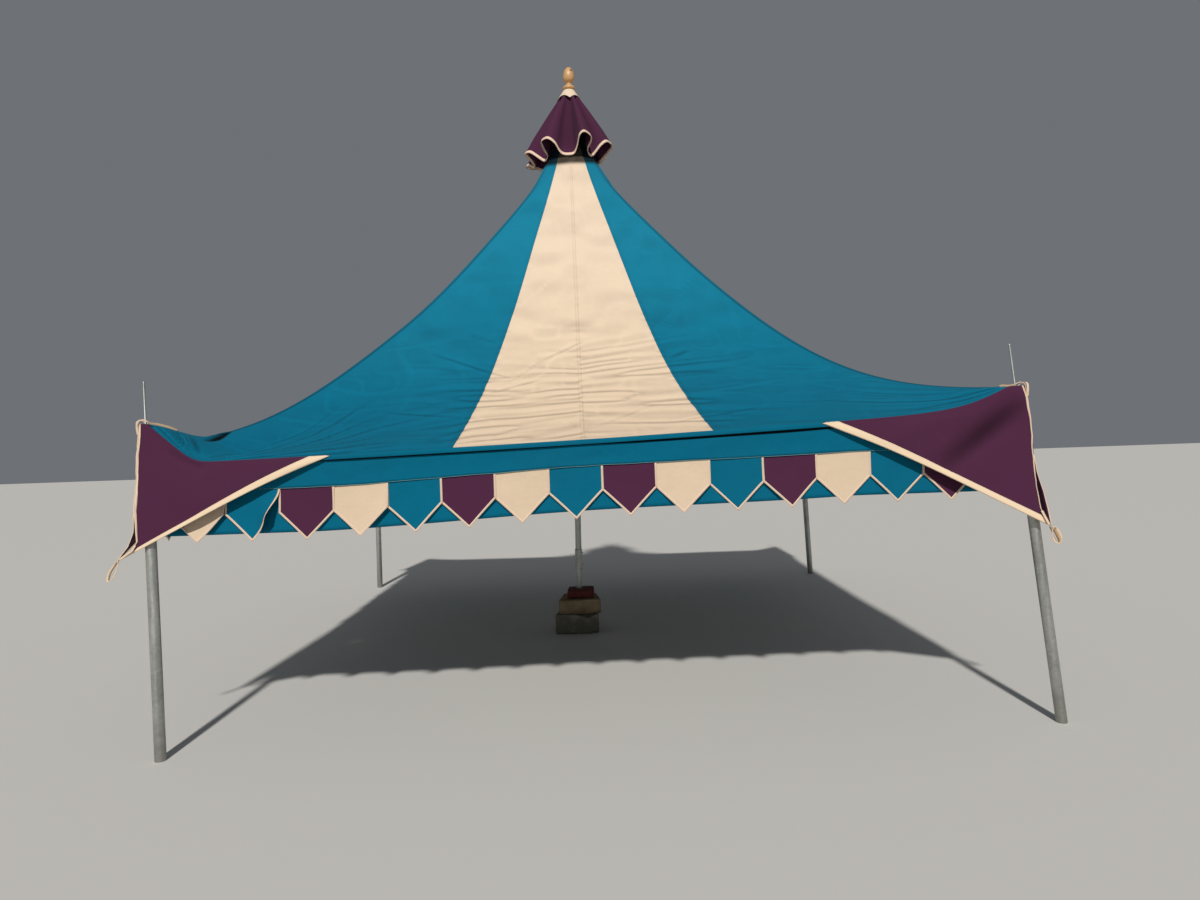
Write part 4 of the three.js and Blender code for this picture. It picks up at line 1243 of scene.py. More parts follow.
# How far each flap's edge at the corner stands off the upright: shares of the way down, then
# metres along the side and metres outwards
FLAP_EDGES = {
    ("front_left", "front"): ((0, 0.19, 0.41, 0.65, 0.87, 0.94, 1),
                              (-0.027, -0.022, -0.017, -0.015, -0.022, 0.002, 0.051),
                              (0, 0.010, 0.022, 0.036, 0.047, 0.051, 0.055)),
    ("front_left", "left"): ((0, 0.41, 0.65, 0.80, 0.90, 1), (0, 0.022, 0.036, 0.044, 0.049, 0.055),
                             (-0.026, -0.016, -0.014, -0.008, 0.012, 0.053)),
    ("front_right", "front"): ((0, 0.08, 0.25, 0.50, 0.75, 0.88, 1),
                               (-0.018, -0.005, 0.000, 0.005, 0.010, 0.020, 0.051),
                               (0, 0.004, 0.014, 0.027, 0.041, 0.048, 0.055)),
    ("front_right", "right"): ((0, 0.25, 0.50, 0.62, 0.76, 0.88, 1),
                               (0, 0.014, 0.027, 0.034, 0.042, 0.048, 0.055),
                               (-0.009, -0.005, 0.002, 0.011, 0.032, 0.043, 0.053)),
}
PLAIN_EDGE = ((0, 0.5, 0.85, 1), (-0.004, 0.008, 0.024, 0.053), (0, 0.026, 0.046, 0.055))
# Valleys and swells of the flaps: start and end by place along the side and height, then the depth
# or height and the half width
VALLEYS = {
    "front_right": [((1.84, 1.350), (1.42, 1.040), -0.026, 0.045),
                    ((1.72, 1.34), (1.18, 1.18), 0.008, 0.050)],
    "front_left": [((1.70, 1.245), (1.54, 1.16), -0.012, 0.018),
                   ((1.80, 1.20), (1.50, 1.02), 0.006, 0.060)],
    "back_right": [((1.78, 1.26), (1.50, 1.05), -0.010, 0.050)],
    "back_left": [((1.80, 1.32), (1.42, 1.06), -0.012, 0.050)],
}


def leg_face(side, corner, across, z):
    """How far out the face of a corner's leg lies at a place along a side, or 0 beside the leg."""
    facts, turn = CORNERS[corner], SIDES[side]["turn"]
    x, y = (mix(facts["foot"][i], facts["top"][i], z / facts["height"]) for i in (0, 1))
    aside = x * math.cos(turn) + y * math.sin(turn) - across
    round_face = np.sqrt(np.maximum((LEG_RADIUS + LEG_CLEARANCE) ** 2 - aside**2, 0))
    return np.where(round_face > 0, x * math.sin(turn) - y * math.cos(turn) + round_face, 0)


def flap_surface(side, hand, share, down, with_shade=False):
    """Points of a flap: share runs from the corner (0) to its far point on the hem (1), and down
    from the roof's edge (0) to the flap's lower edge (1). The painted shade of its valleys can be
    had as well."""
    corner = SIDES[side][hand]
    sign, facts = HAND_SIGN[hand], FLAPS[corner]
    share, down = np.broadcast_arrays(np.asarray(share, float), np.asarray(down, float))
    across = ROOF_HALF + 0.004 - share * facts["length"]
    top_z = hem_height(side, sign * across) + 0.002
    end_z = hem_height(side, sign * (ROOF_HALF - facts["length"]))
    bow = 0.016 * np.sin(np.pi * share**1.6) ** 1.2
    z = mix(top_z, mix(facts["tip"], end_z, share) + bow, down)
    marks, shifts, rises = FLAP_EDGES.get((corner, side), PLAIN_EDGE)
    near = (1 - share) ** 3
    kink = np.interp(down, marks, shifts)
    across = across + mix(FLAP_TIP_OUT * down**4 * (1 - share), kink, near)
    out = FLAP_OUT + (1 - share) * mix(FLAP_TIP_OUT * down, np.interp(down, marks, rises), near)
    belly = np.sin(np.pi * np.clip(down, 0, 1)) * np.sin(np.pi * np.clip(share, 0, 1) ** 0.8)
    relief = 0.005 * belly
    for start, end, height, width in VALLEYS[corner]:
        relief = relief + fold(across, z, start, end, height, width)
    # Painted shade in the flap's valleys
    shade = 1.9 * np.clip(-relief / 0.022, 0, 1) * smooth(down * 6)
    relief = np.maximum(relief, 0.3 * relief - 0.004)
    seed = 500 + 10 * SIDES[side]["seed"] + (hand == "left")
    relief = relief + 0.0022 * noise(seed, across / 0.16, z / 0.13)
    relief = relief + 0.0008 * noise(seed + 5, across / 0.05, z / 0.05)
    relief = relief * smooth(down * 8) * smooth(share * 10) * (1 - 0.8 * smooth((down - 0.72) / 0.24))
    out = np.maximum(out + relief, leg_face(side, corner, sign * across, z))
    points = side_point(side, sign * across, out, z)
    return (points, shade) if with_shade else points


def flap_height(side, hand, share):
    """Length of a flap down from the roof's edge at a share of its width."""
    lower, upper = (flap_surface(side, hand, share, down) for down in (1.0, 0.0))
    return np.linalg.norm(lower - upper, axis=-1)


# %% Flap pieces
def flap_hem(side, hand, share, tall):
    """The tape on a flap's lower edge as a grid: six lines over the cloth in front, a little
    bellied, and the turn of the tape round the edge to the back. It ends in a point at the hem."""
    band = mix(1 - np.minimum(HEM_TAPE * 1.16 / tall, 1.0), 1.0, smooth((share - 0.985) / 0.015))
    lift = outward(side) * 0.0012
    lines = []
    for t in np.linspace(0, 1, 6):
        lines.append(flap_surface(side, hand, share, mix(band, 1.0, t)) - [0, 0, 0.0012 * t])
    face = [line + lift * (1 + 0.7 * math.sin(math.pi * k / 5)) for k, line in enumerate(lines)]
    face.insert(0, lines[0] - lift * 0.6)
    face += [lines[5] - lift * 1.8, lines[3] - lift * 2.3]
    over_tape = np.array([0, 0, 0.2, 0.4, 0.6, 0.8, 1, 1, 0.5])[:, None] * HEM_TAPE
    return grid_part(np.stack(face), flat_places(share[None, :] * 0.9, over_tape))


flaps = []
for side, facts in SIDES.items():
    columns, rows = detail(side, (72, 44), (60, 36))
    for hand in HAND_SIGN:
        corner = facts[hand]
        name, length = f"flap_{corner}_{side}", FLAPS[corner]["length"]
        share = 1 - (1 - np.linspace(0, 1, columns)) ** DENSER_AT_ENDS
        tall = np.maximum(flap_height(side, hand, share), 1e-4)
        down = np.linspace(0, 1, rows)[:, None]
        points, shade = flap_surface(side, hand, share[None, :], down, True)
        grid = grid_part(points, flat_places(share[None, :] * length, down * tall[None, :]), crease_and_shade=shade)
        cloth = build(name + "_cloth", [grid], [purple_cloth], [name], CANVAS)
        hem = build(name + "_hem", [flap_hem(side, hand, share, tall)], [cream_hem])
        size = (length, float(tall[0]))
        min(mesh_area(cloth), size[0] * size[1])
        flaps.append(name)
print("flaps:", len(flaps))


# %% Corner tapes and straps
def corner_frame(corner):
    """Directions of a corner: straight out from the tent and along the edge of the square."""
    x, y = np.sign(CORNERS[corner]["top"])
    return np.array([x, y, 0.0]) / math.sqrt(2), np.array([y, -x, 0.0]) / math.sqrt(2)


def corner_sides(corner):
    """The two sides that meet at a corner, each with the hand of the corner on it, the one that
    the front or the back shows first."""
    found = [(side, hand) for side in SIDES for hand in HAND_SIGN if SIDES[side][hand] == corner]
    return sorted(found, key=lambda pair: pair[0] not in ("front", "back"))


EDGE_WIDTHS = {"front_left": 0.0105, "front_right": 0.0065, "back_right": 0.009, "back_left": 0.009}
# The tape's end over the top of a corner: metres inwards along the side, outwards and up from the
# flap's upper corner
TAPE_END = ((-0.005, 0.005, -0.045), (-0.007, 0.007, -0.012), (0.000, 0.008, 0.008),
            (0.016, 0.006, 0.014), (0.030, 0.000, 0.008), (0.038, -0.014, -0.004))
# The strands of that end: how far each one stands off the first, and its width
ONE_STRAND, TWO_STRANDS = ((0.0, 0.0105),), ((0.0, 0.0075), (0.006, 0.0042))
# Where a strap's tail starts on the hip, and its length at a tight and a loose corner
STRAP_START, TIGHT_TAIL, LOOSE_TAIL, BESIDE_HIP = 0.020, 0.125, 0.060, 0.012


def curve_through(points, count):
    """A smooth open curve through points, by cubic pieces with averaged slopes, evenly spaced."""
    points = np.asarray(points, float)
    along = travelled(points)
    slopes = np.gradient(points, along, axis=0)
    where = np.linspace(0, along[-1], count)
    i = np.clip(np.searchsorted(along, where, "right") - 1, 0, len(along) - 2)
    span = (along[i + 1] - along[i])[:, None]
    t = (where - along[i])[:, None] / span
    return ((2 * t**3 - 3 * t**2 + 1) * points[i] + (t**3 - 2 * t**2 + t) * span * slopes[i]
            + (3 * t**2 - 2 * t**3) * points[i + 1] + (t**3 - t**2) * span * slopes[i + 1])


def edge_tape(side, hand, seed):
    """The tape down a flap's upright edge. It wanders and turns a little, as handling leaves it."""
    down = np.linspace(0, 1, 110)
    edge = flap_surface(side, hand, 0.0, down)
    wave = 0.0030 * noise(600 + seed, down * 9, 0) + 0.0012 * noise(620 + seed, down * 25, 0)
    inner = flap_surface(side, hand, 0.03, down) - edge
    path = edge + outward(side) * 0.0022 + unit(inner) * (0.003 + wave)[:, None]
    tilt = unit(inner + outward(side) * (wave[:, None] * 3))
    width = EDGE_WIDTHS[SIDES[side][hand]] * (1 + 0.5 * noise(640 + seed, down * 7, 0))
    return ribbon(path, tilt, width, 0.0024)


def tape_strands(side, hand):
    """The loose end of an edge tape over the corner, as one strand or two."""
    start = flap_surface(side, hand, 0.0, np.zeros(1))[0]
    inwards = -HAND_SIGN[hand] * rightward(side)
    strands = []
    for lift, width in ONE_STRAND if SIDES[side][hand] == "front_right" else TWO_STRANDS:
        end = curve_through(TAPE_END, 40) * [1, 1, 1 + 40 * lift]
        path = start + end[:, :1] * inwards + end[:, 1:2] * outward(side)
        path = path + end[:, 2:] * np.array([0, 0, 1.0]) + inwards * lift * 0.7
        strands.append(ribbon(path, outward(side) + 0.35 * inwards + 0 * path, width, 0.0026))
    return strands


def strap_ribbon(corner, seed):
    """The strap's tail, which lies on the hip from near the corner upwards and dips at its end."""
    travel = np.linspace(0.0, LOOSE_TAIL if CORNERS[corner]["slack"] else TIGHT_TAIL, 40)
    inward = 1 - (STRAP_START + travel) / (ROOF_HALF * math.sqrt(2))
    side, hand = corner_sides(corner)[0]
    path = roof_surface(side, HAND_SIGN[hand] * (1 - BESIDE_HIP), inward)
    rise = 0.0030 + 0.0020 * noise(700 + seed, travel / 0.025, 0)
    path[:, 2] += rise - 0.0025 * smooth(travel / travel[-1] * 4 - 3)
    lying = np.array([[0, 0, 0.8]]) - corner_frame(corner)[0] * 0.6 + 0 * path
    return ribbon(path, lying, 0.017, 0.0020)


for k, corner in enumerate(CORNERS):
    tapes = []
    for j, (side, hand) in enumerate(corner_sides(corner)):
        tapes += [edge_tape(side, hand, k * 2 + j), *tape_strands(side, hand)]
    build(f"corner_tape_{corner}", tapes, [cream_edge], weld=True)
    build(f"corner_strap_{corner}", [strap_ribbon(corner, k)], [strap_painted_shade], weld=True)
print("corner tapes and straps:", 2 * len(CORNERS))

# %% Loops at the tips
# How far a loop's foot lies to the right of the tip, as seen from the front, and above it (so below
# it where negative), then the loop's half width and its strap's width
LOOPS = {"front_left": (-0.040, -0.078, 0.022, 0.013), "front_right": (0.034, -0.070, 0.011, 0.026),
         "back_right": (0.020, -0.080, 0.018, 0.016), "back_left": (-0.018, -0.080, 0.016, 0.016)}
for k, corner in enumerate(CORNERS):
    out, along = corner_frame(corner)
    side, hand = corner_sides(corner)[0]
    tip = flap_surface(side, hand, 0.0, 1.0) + out * 0.002
    lean_x, fall, wide, strap = LOOPS[corner]
    aside = np.array([1.0, 0.0, 0.0])
    angle = np.linspace(0, 2 * np.pi, 84, endpoint=False)
    along_fall = 0.5 - 0.5 * np.cos(angle)
    path = tip + aside * (lean_x * along_fall + wide * np.sin(angle) * (0.55 + 0.45 * along_fall))[:, None]
    rumple = 0.0015 * noise(650 + k, np.cos(angle) * 1.5, np.sin(angle) * 1.5)
    path = path + out * (0.006 * np.sin(angle + k))[:, None] + rumple[:, None]
    path[:, 2] += fall * along_fall - 0.002
    facing = np.cross(aside, [0, 0, 1.0]) + (0.9 * np.sin(angle + 0.7 * k))[:, None] * aside
    build(f"tip_loop_{corner}_webbing", [ribbon(path, facing, strap, 0.0024, closed=True)],
          [cream_strap], [f"tip_loop_{corner}"])
    knot = flap_surface(side, hand, 0.012, np.linspace(0.90, 1.0, 16)) + out * 0.005
    build(f"tip_wrap_{corner}", [ribbon(knot, along[None, :] + 0 * knot, 0.020, 0.005)],
          [cream_edge], weld=True)
print("loops:", len(LOOPS))

# %% [markdown]
# ## Peak cap
# The cap is a cone of cloth that is wider at its hem than its height allows it to lie flat, so
# the hem swings in and out in folds whose sides overhang. The table has points of the hem as
# seen from above: degrees round from the front and millimetres from the axis. The cloth keeps
# its length from the top, so where the hem swings out it also rises. A binding closes the edge.

# %% Cap shape
CAP_TOP, CAP_TOP_RADIUS = 3.416, 0.026
# Length of cloth from the top to the hem, where the hem swings in and where it swings out
CAP_SLANT = (0.488, 0.447)
# The lobe that hangs low: its azimuth and half width in degrees, and the length of cloth it has more
LOW_LOBE = (250, 24, 0.074)
CAP_HEM = [
    (-86, 287), (-77, 256), (-70, 210), (-65, 178), (-54, 178), (-46, 195), (-45, 230), (-41, 262),
    (-30, 269), (-22, 242), (-18, 203), (-13, 184), (-2, 177), (9, 186), (13, 227), (14, 274),
    (19, 294), (29, 274), (32.5, 248), (32, 214), (38, 191), (49, 188), (53, 243), (60, 272),
    (77, 275), (86, 262), (90, 228), (91, 195), (99, 178), (109, 186), (112, 225), (117, 262),
    (129, 276), (139, 256), (141, 215), (147, 184), (158, 175), (168, 190), (171, 232), (177, 268),
    (189, 276), (198, 248), (200, 210), (208, 184), (219, 180), (228, 196), (231, 232), (237, 272),
    (243, 284), (250, 306), (257, 286), (260, 256), (263, 234), (267, 234), (270, 256), (272, 278),
]


def evenly_spaced(line, count):
    """Points at even distances round a closed line in plan, whose last point is its first."""
    travel = travelled(line)
    even = np.linspace(0, travel[-1], count, endpoint=False)
    return np.stack([np.interp(even, travel, line[:, 0]), np.interp(even, travel, line[:, 1])], -1)


def closed_curve(points, count):
    """A smooth closed curve through points: cubic pieces whose slope at a point is that of the
    line between its neighbours. Returned evenly spaced."""
    points = np.asarray(points, float)
    before, after, beyond = np.roll(points, 1, 0), np.roll(points, -1, 0), np.roll(points, -2, 0)
    t = np.linspace(0, 1, 24, endpoint=False)[None, :, None]
    here, there = points[:, None], after[:, None]
    lead, trail = 0.5 * (after - before)[:, None], 0.5 * (beyond - points)[:, None]
    curve = ((2 * t**3 - 3 * t**2 + 1) * here + (t**3 - 2 * t**2 + t) * lead
             + (3 * t**2 - 2 * t**3) * there + (t**3 - t**2) * trail).reshape(-1, 2)
    return evenly_spaced(np.concatenate([curve, curve[:1]]), count)


CAP_COLUMNS = 480
hem_marks = [(r / 1000 * math.sin(math.radians(a)), -r / 1000 * math.cos(math.radians(a)))
             for a, r in CAP_HEM]
hem_plan = closed_curve(hem_marks, CAP_COLUMNS)
hem_azimuth = np.unwrap(np.arctan2(hem_plan[:, 0], -hem_plan[:, 1]))
even_azimuth = hem_azimuth[0] + np.linspace(0, 2 * np.pi, CAP_COLUMNS, endpoint=False)
wander = hem_azimuth - even_azimuth
for _ in range(3):
    wander = sum(np.roll(wander, shift) for shift in range(-24, 25)) / 49
top_azimuth = even_azimuth + wander
hem_radius = np.linalg.norm(hem_plan, axis=1)
slant = mix(CAP_SLANT[0], CAP_SLANT[1], smooth((hem_radius - 0.16) / 0.12))
from_low_lobe = (np.degrees(hem_azimuth) - LOW_LOBE[0] + 180) % 360 - 180
slant = slant + LOW_LOBE[2] * np.exp(-((from_low_lobe / LOW_LOBE[1]) ** 2))
hem_z = CAP_TOP - np.sqrt(slant**2 - (hem_radius - CAP_TOP_RADIUS) ** 2)


def cap_surface(down):
    """Points of the cap at shares of the way down its slant (rows, 1): straight lines of cloth
    from an even ring at the top to the folded hem, bellied out a little."""
    ring = CAP_TOP_RADIUS * np.stack([np.sin(top_azimuth), -np.cos(top_azimuth)], -1)
    plan = mix(ring, hem_plan, down[..., None])
    heading = unit(plan)
    around = np.arange(CAP_COLUMNS) / CAP_COLUMNS * 14
    belly = 0.008 * np.sin(np.pi * down) + 0.002 * noise(800, around, down * 4) * smooth(down * 3)
    z = mix(CAP_TOP, hem_z, down)
    return np.concatenate([pole_axis(z) + plan + heading * belly[..., None], z[..., None]], -1)


def cap_painted_shade(down):
    """Crease value of the cap, all painted shade: darker in the folds where its hem swings in, and black
    where a side overhangs.
    """
    swing = np.clip((0.225 - hem_radius) / 0.05, 0, 1)
    turned_back = np.roll(hem_azimuth, -5) < np.roll(hem_azimuth, 5)
    turned_back[:5] = turned_back[-5:] = False
    hidden = sum(np.roll(turned_back.astype(float), shift) for shift in range(-3, 4)) / 7
    return (0.7 * swing + 2.0 * hidden) * smooth(down * 3) * (1 - smooth((down - 0.80) / 0.2))


rows = np.linspace(0, 1, 36)[:, None]
hem_length = float(np.linalg.norm(hem_plan - np.roll(hem_plan, 1, 0), axis=1).sum())
around_uv = np.linspace(0, hem_length, CAP_COLUMNS + 1)[None, :]
cap_grid = grid_part(cap_surface(rows), flat_places(around_uv, rows * CAP_SLANT[1]), wrap=True,
                     crease_and_shade=cap_painted_shade(rows))
cap = build("peak_cap_cloth", [cap_grid], [purple_cloth], ["peak_cap"], 0.0014)
edge = cap_surface(np.array([[1 - 0.5 * CAP_TAPE / CAP_SLANT[1]]]))[0]
downwards = cap_surface(np.array([[1.0]]))[0] - edge
binding = build("peak_cap_binding", [ribbon(edge, downwards, CAP_TAPE, 0.0042, closed=True)],
                [cream_edge_wide])
mesh_area(cap)
print("cap hem:", round(hem_length, 3), "m")

# %% [markdown]
# ## Collar, peak patch and finial
# A square of cream cloth with a hole for the spindle lies over the top of the cap, so its four
# corners hang down as points. Under the cap a round patch closes the roof. The finial is turned
# from one piece: its profile goes from a bell up through a narrow neck to an acorn.

# %% Collar and patch
COLLAR_TURN = math.radians(5)
# COLLAR_SLOPE is the share of its length that the cloth over the cap's edge goes outwards
COLLAR_HALF, COLLAR_SLOPE = 0.080, 0.56
azimuth = np.linspace(0, 2 * np.pi, 96, endpoint=False)[None, :]
turned = azimuth - COLLAR_TURN - np.pi / 4
square = COLLAR_HALF / np.maximum(np.abs(np.cos(turned)), np.abs(np.sin(turned)))
square = mix(square, COLLAR_HALF * 1.16, 0.04)
reach = np.linspace(0.10, 1, 15)[:, None] * square
over = np.maximum(reach - CAP_TOP_RADIUS, 0)
collar_r = np.minimum(reach, CAP_TOP_RADIUS) + over * COLLAR_SLOPE + 0.0085 * smooth(reach / 0.03)
collar_z = CAP_TOP + 0.0035 - over * math.sqrt(1 - COLLAR_SLOPE**2)
collar_z = collar_z - 0.004 * smooth((reach - 0.015) / 0.02)
collar_r = collar_r + 0.0012 * noise(850, azimuth * 2.2, reach / 0.02) * smooth(over / 0.02)
round_axis = np.stack([collar_r * np.sin(azimuth), -collar_r * np.cos(azimuth)], -1)
collar_points = pole_axis(collar_z) + round_axis
collar_points = np.concatenate([collar_points, np.broadcast_to(collar_z, collar_r.shape)[..., None]], -1)
collar = build("cap_collar_cloth", [grid_part(collar_points, wrap=True)], [cream_cloth],
               ["cap_collar"], 0.0014)
min(mesh_area(collar), 4 * COLLAR_HALF**2)

RING_RADIUS, PATCH_WIDTH, SPINDLE_HOLE = ROOF_HALF * PEAK_SHARE, 0.16, 0.0056
PATCH_SLOPE = STEEPNESS * (APEX - MEAN_HEIGHT) / ROOF_HALF
patch_profile = [(SPINDLE_HOLE, RING_Z + (RING_RADIUS - SPINDLE_HOLE) * PATCH_SLOPE),
                 (RING_RADIUS, RING_Z + 0.002), (RING_RADIUS + 0.006, RING_Z - 0.010)]
patch = build("peak_patch_cloth", [lathe(patch_profile, pole_axis, 64)], [cream_cloth],
              ["peak_patch"], CANVAS)
min(mesh_area(patch), PATCH_WIDTH**2)
print("collar and patch:", 2 * COLLAR_HALF, PATCH_WIDTH, "m wide")

# %% Finial
FINIAL_FOOT, FINIAL_HEIGHT = 3.422, 0.141
# Radius in metres and share of the height, from the hole in its foot to the tip
FINIAL_PROFILE = [
    (0.0053, 0.0), (0.030, 0.0), (0.0385, 0.030), (0.0395, 0.065), (0.0385, 0.10), (0.0310, 0.15),
    (0.0235, 0.195), (0.0180, 0.235), (0.0150, 0.27), (0.0147, 0.295), (0.0175, 0.322), (0.0245, 0.345),
    (0.0295, 0.385), (0.0330, 0.435), (0.0350, 0.50), (0.0356, 0.565), (0.0350, 0.64), (0.0333, 0.715),
    (0.0302, 0.79), (0.0258, 0.86), (0.0198, 0.925), (0.0118, 0.975), (0.0, 1.0),
]
turned_profile = curve_through(FINIAL_PROFILE[1:] * np.array([1, FINIAL_HEIGHT]), 90) + [0, FINIAL_FOOT]
foot_profile = np.array(FINIAL_PROFILE[:1]) * [1, FINIAL_HEIGHT] + [0, FINIAL_FOOT]
turned_profile[:, 0] = np.maximum(turned_profile[:, 0], 0)
build("finial_turned", [lathe(np.concatenate([foot_profile, turned_profile]), pole_axis, 64)],
      [varnished_wood], ["finial"], weld=True)
print("finial:", FINIAL_HEIGHT, "m high")

# %% [markdown]
# ## Pipes, pins and the centre pole
# All of these are turned shapes on leaning axes. A leg is an open pipe with a rolled cut edge, and
# a pin stands up out of its top. The centre pole telescopes: a wide pipe over a narrow one, with
# a clamp sleeve at the joint that two set screws hold.

# %% Legs and pins
LEG_WALL, PLUG_DEPTH, PIN_RADIUS, PIN_HEIGHT, GAP = 0.0017, 0.030, 0.0045, 0.180, 0.0003
# Rings up the outside of a pipe, and the height of the one ring inside a leg
PIPE_LEVELS, INNER_LEVEL = 8, 0.3
inside = LEG_RADIUS - LEG_WALL
for corner, facts in CORNERS.items():
    axis = leaning(facts["foot"], facts["top"], facts["height"])
    top = facts["height"] - ROOF_THICKNESS - 2 * GAP
    outer = [(LEG_RADIUS, z) for z in np.linspace(0.0, top, PIPE_LEVELS)]
    pipe = eased([(inside, 0.0), *outer, (inside, top), (inside, INNER_LEVEL), (inside, 0.0)], 0.0008)
    build(f"leg_{corner}_pipe", [lathe(pipe, axis, 56)], [zinc], [f"leg_{corner}"])
    tip = facts["height"] + PIN_HEIGHT
    pin = [(0, top - PLUG_DEPTH), (inside - GAP, top - PLUG_DEPTH), (inside - GAP, top), (PIN_RADIUS, top),
           (PIN_RADIUS, tip - PIN_RADIUS), (0.6 * PIN_RADIUS, tip - 0.0006), (0, tip)]
    build(f"pin_{corner}_rod", [lathe(eased(pin, 0.001), axis, 28)], [zinc],
          [f"pin_{corner}"], weld=True)
print("legs and pins:", 2 * len(CORNERS))

# %% Centre pole
OUTER_RADIUS, INNER_RADIUS, SLEEVE_RADIUS = 0.0192, 0.0167, 0.0230
SLEEVE_WALL = SLEEVE_RADIUS - OUTER_RADIUS - GAP
OUTER_FOOT, INNER_TOP, SLEEVE_TOP = 0.391, 0.900, 0.519
PAVER_TOP = 0.265
POLE_HEAD = float(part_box("centre_pole_upper")[1][2])


def pipe_profile(radius, wall, foot, head):
    """Outer face up, over the head and down the inside, with eased edges."""
    levels = [(radius, z) for z in np.linspace(foot, head, PIPE_LEVELS)]
    return eased([(radius - wall, foot), *levels, (radius - wall, head), (radius - wall, foot)], 0.0007)


for name, profile in {
    "centre_pole_upper": pipe_profile(OUTER_RADIUS, LEG_WALL, OUTER_FOOT, POLE_HEAD),
    "centre_pole_lower": pipe_profile(INNER_RADIUS, LEG_WALL, PAVER_TOP + GAP, INNER_TOP),
    "centre_pole_sleeve": pipe_profile(SLEEVE_RADIUS, SLEEVE_WALL, OUTER_FOOT - 0.002, SLEEVE_TOP),
}.items():
    build(name + "_pipe", [lathe(profile, pole_axis, 56)], [zinc], [name])
print("centre pole:", round(POLE_HEAD, 3), "m high")

# %% Set screws
SCREW_HEIGHTS = (0.421, 0.495)
SHANK_RADIUS, HEAD_RADIUS, HEAD_END = 0.003, 0.0045, 0.029
SOCKET_RIM, SOCKET_RADIUS, SOCKET_DEPTH = 0.0022, 0.0018, 0.002
screw = eased([(0, OUTER_RADIUS + GAP), (SHANK_RADIUS, OUTER_RADIUS + GAP),
               (SHANK_RADIUS, SLEEVE_RADIUS + GAP), (HEAD_RADIUS, SLEEVE_RADIUS + GAP),
               (HEAD_RADIUS, HEAD_END - 0.001), (SOCKET_RIM, HEAD_END),
               (SOCKET_RADIUS, HEAD_END - SOCKET_DEPTH), (0, HEAD_END - SOCKET_DEPTH)], 0.0004)
for number, height in enumerate(SCREW_HEIGHTS, 1):
    part = lathe(screw, lambda z: np.zeros((*np.shape(z), 2)), 24)
    x, y = pole_axis(height)
    part["points"] = part["points"][:, [2, 0, 1]] + [x, y, height]
    build(f"centre_pole_screw_{number}_head", [part], [zinc],
          [f"centre_pole_screw_{number}"], weld=True)
print("set screws:", len(SCREW_HEIGHTS))

# %% Spindle
PLUG_RADIUS, ROD_RADIUS, WASHER_RADIUS, WASHER_THICK = 0.0172, 0.005, 0.017, 0.004
WASHER_TOP, SPINDLE_TOP = CAP_TOP - 0.0083, 3.482
spindle = eased([(0, POLE_HEAD - PLUG_DEPTH), (PLUG_RADIUS, POLE_HEAD - PLUG_DEPTH),
                 (PLUG_RADIUS, POLE_HEAD - GAP), (ROD_RADIUS, POLE_HEAD - GAP),
                 (ROD_RADIUS, WASHER_TOP - WASHER_THICK), (WASHER_RADIUS, WASHER_TOP - WASHER_THICK),
                 (WASHER_RADIUS, WASHER_TOP), (ROD_RADIUS, WASHER_TOP),
                 (ROD_RADIUS, SPINDLE_TOP), (0, SPINDLE_TOP)], 0.0006)
build("peak_spindle_rod", [lathe(spindle, pole_axis, 32)], [zinc], ["peak_spindle"],
      weld=True)
print("spindle top:", SPINDLE_TOP, "m")

# %% [markdown]
# ## Stacked base
# The pole stands on a small red paver on two wall blocks. Such blocks are split from a mould, so
# their outline is the same all the way up but their faces are rough and their edges are chipped.
# The outline is carried up the side and in over the top and bottom, and noise pushes it inwards.

# %% Base shapes
# Rows under a block, up its sides and over its top
BLOCK_ROWS = (4, 24, 16)


def block_outline(width, depth, taper, bow, count):
    """Points round a wall block as seen from above: a straight narrow back, straight sides and a
    bowed front, with eased corners, spaced evenly."""
    half, back = width / 2, width / 2 * taper
    t = np.linspace(0, 1, 40)[:, None]
    start, peak, end = np.array([[-half, bow - depth / 2], [0, -depth / 2 - bow], [half, bow - depth / 2]])
    front = (1 - t) ** 2 * start + 2 * t * (1 - t) * peak + t**2 * end
    corners = np.concatenate([front, [[back, depth / 2], [-back, depth / 2]], front[:1]])
    points = evenly_spaced(corners, count)
    for _ in range(6):
        points = 0.5 * points + 0.25 * (np.roll(points, 1, 0) + np.roll(points, -1, 0))
    return points


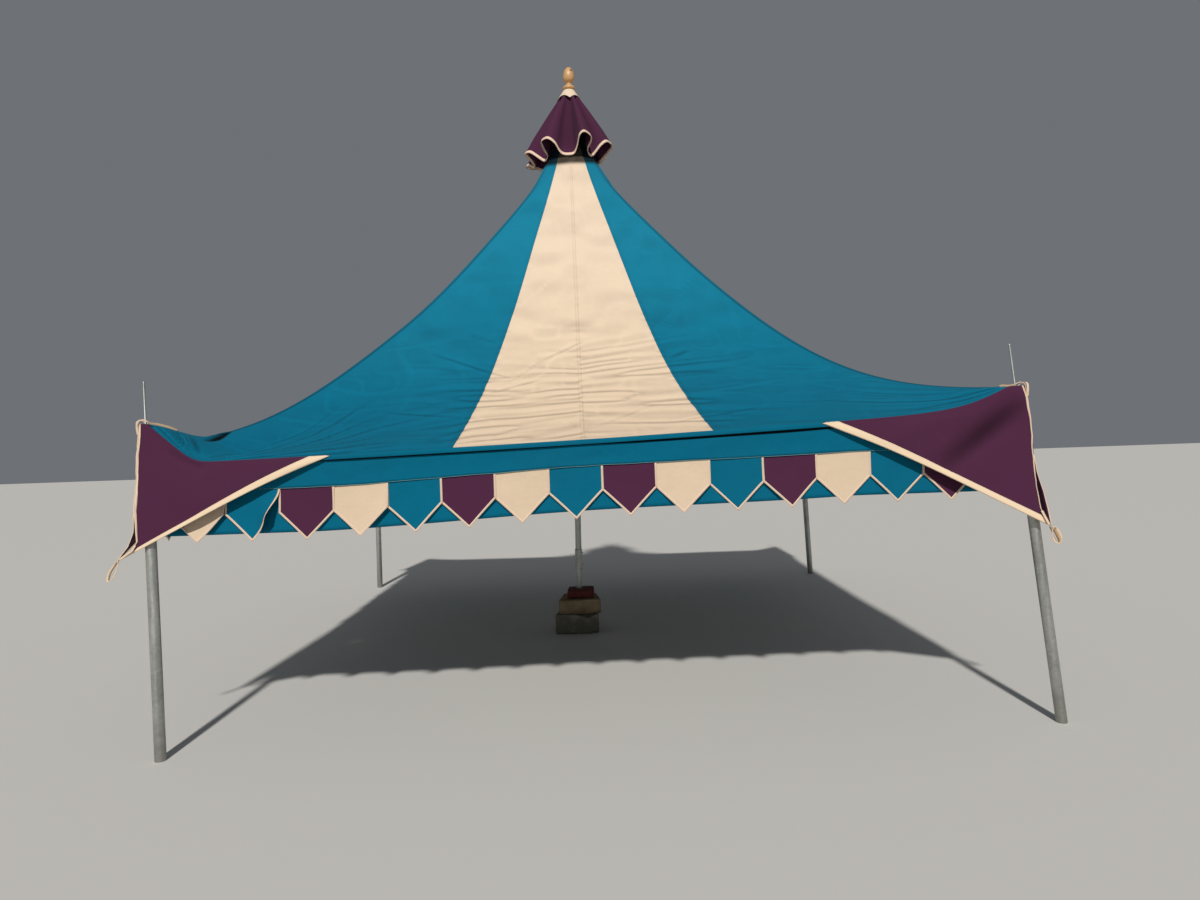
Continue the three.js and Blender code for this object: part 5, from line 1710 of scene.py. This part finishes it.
def rough_block(centre, outline, foot, head, seed, grain, chip, notch=None):
    """A block whose outline is scaled in over its bottom and top. Noise pushes the sides in by up
    to grain, and chip eats at the upper and lower edges. notch is (x, width, depth) of a bite out
    of the upper front edge."""
    under, sides, over = BLOCK_ROWS
    scale = np.concatenate([np.linspace(0, 0.97, under), np.ones(sides), np.linspace(0.97, 0, over)])
    level = np.concatenate([np.zeros(under), np.linspace(0.02, 0.98, sides), np.ones(over)])
    plan = centre + outline[None] * scale[:, None, None]
    x, y = plan[..., 0], plan[..., 1]
    z = np.broadcast_to(mix(foot, head, level)[:, None], x.shape)
    edge = np.minimum(level, 1 - level)[:, None] * (head - foot)
    push = grain * (0.5 + 0.5 * rough(seed, x / 0.035, y / 0.035, z / 0.030, 5))
    chips = chip * np.clip(rough(seed + 20, x / 0.022, y / 0.022, z / 0.05, 3) - 0.1, 0, 1.2)
    push = push + chips * np.exp(-((edge / 0.012) ** 2)) + 0.006 * np.exp(-((edge / 0.004) ** 2))
    push = np.where(scale[:, None] > 0.96, push, 0)
    inwards = -unit(outline)[None]
    plan = plan + inwards * np.clip(push, 0, None)[..., None]
    sink = 0.0016 * (0.5 + 0.5 * rough(seed + 40, x / 0.02, y / 0.02, 0, 4)) * (level[:, None] > 0.99)
    if notch:
        at, wide, deep = notch
        front = smooth((centre[1] + outline[:, 1].min() + 0.085 - y) / 0.07)
        bite = deep * np.exp(-(((x - at) / wide) ** 2)) * front
        sink = sink + bite * smooth((level[:, None] - 0.5) / 0.5)
    points = np.concatenate([plan, (z - sink)[..., None]], -1)
    around = np.linspace(0, 1, len(outline) + 1)[None, :]
    return grid_part(points, flat_places(around, level[:, None]), wrap=True)


# %% Base pieces
# Width, depth, the back's share of the width, and how far the front bows
LOWER_BLOCK, UPPER_BLOCK = (0.280, 0.255, 0.8, 0.016), (0.272, 0.240, 0.8, 0.016)
PAVER = (0.170, 0.170, 1.0, 0.0)
LOWER_TOP, UPPER_TOP = 0.125, 0.215
CHIPPED_BITE = (-0.030, 0.046, 0.026)
lower = rough_block((-0.098, 0.050), block_outline(*LOWER_BLOCK, 200), 0.0, LOWER_TOP - GAP, 900,
                    0.007, 0.012, CHIPPED_BITE)
upper = rough_block((-0.078, 0.045), block_outline(*UPPER_BLOCK, 200), LOWER_TOP, UPPER_TOP - GAP, 920,
                    0.006, 0.010)
paver = rough_block((-0.071, 0.055), block_outline(*PAVER, 150), UPPER_TOP, PAVER_TOP - GAP, 940,
                    0.003, 0.012)
build("base_block_lower_stone", [lower], [concrete_pale], ["base_block_lower"], weld=True)
build("base_block_upper_stone", [upper], [concrete_brown], ["base_block_upper"], weld=True)
build("base_paver_brick", [paver], [red_brick], ["base_paver"], weld=True)
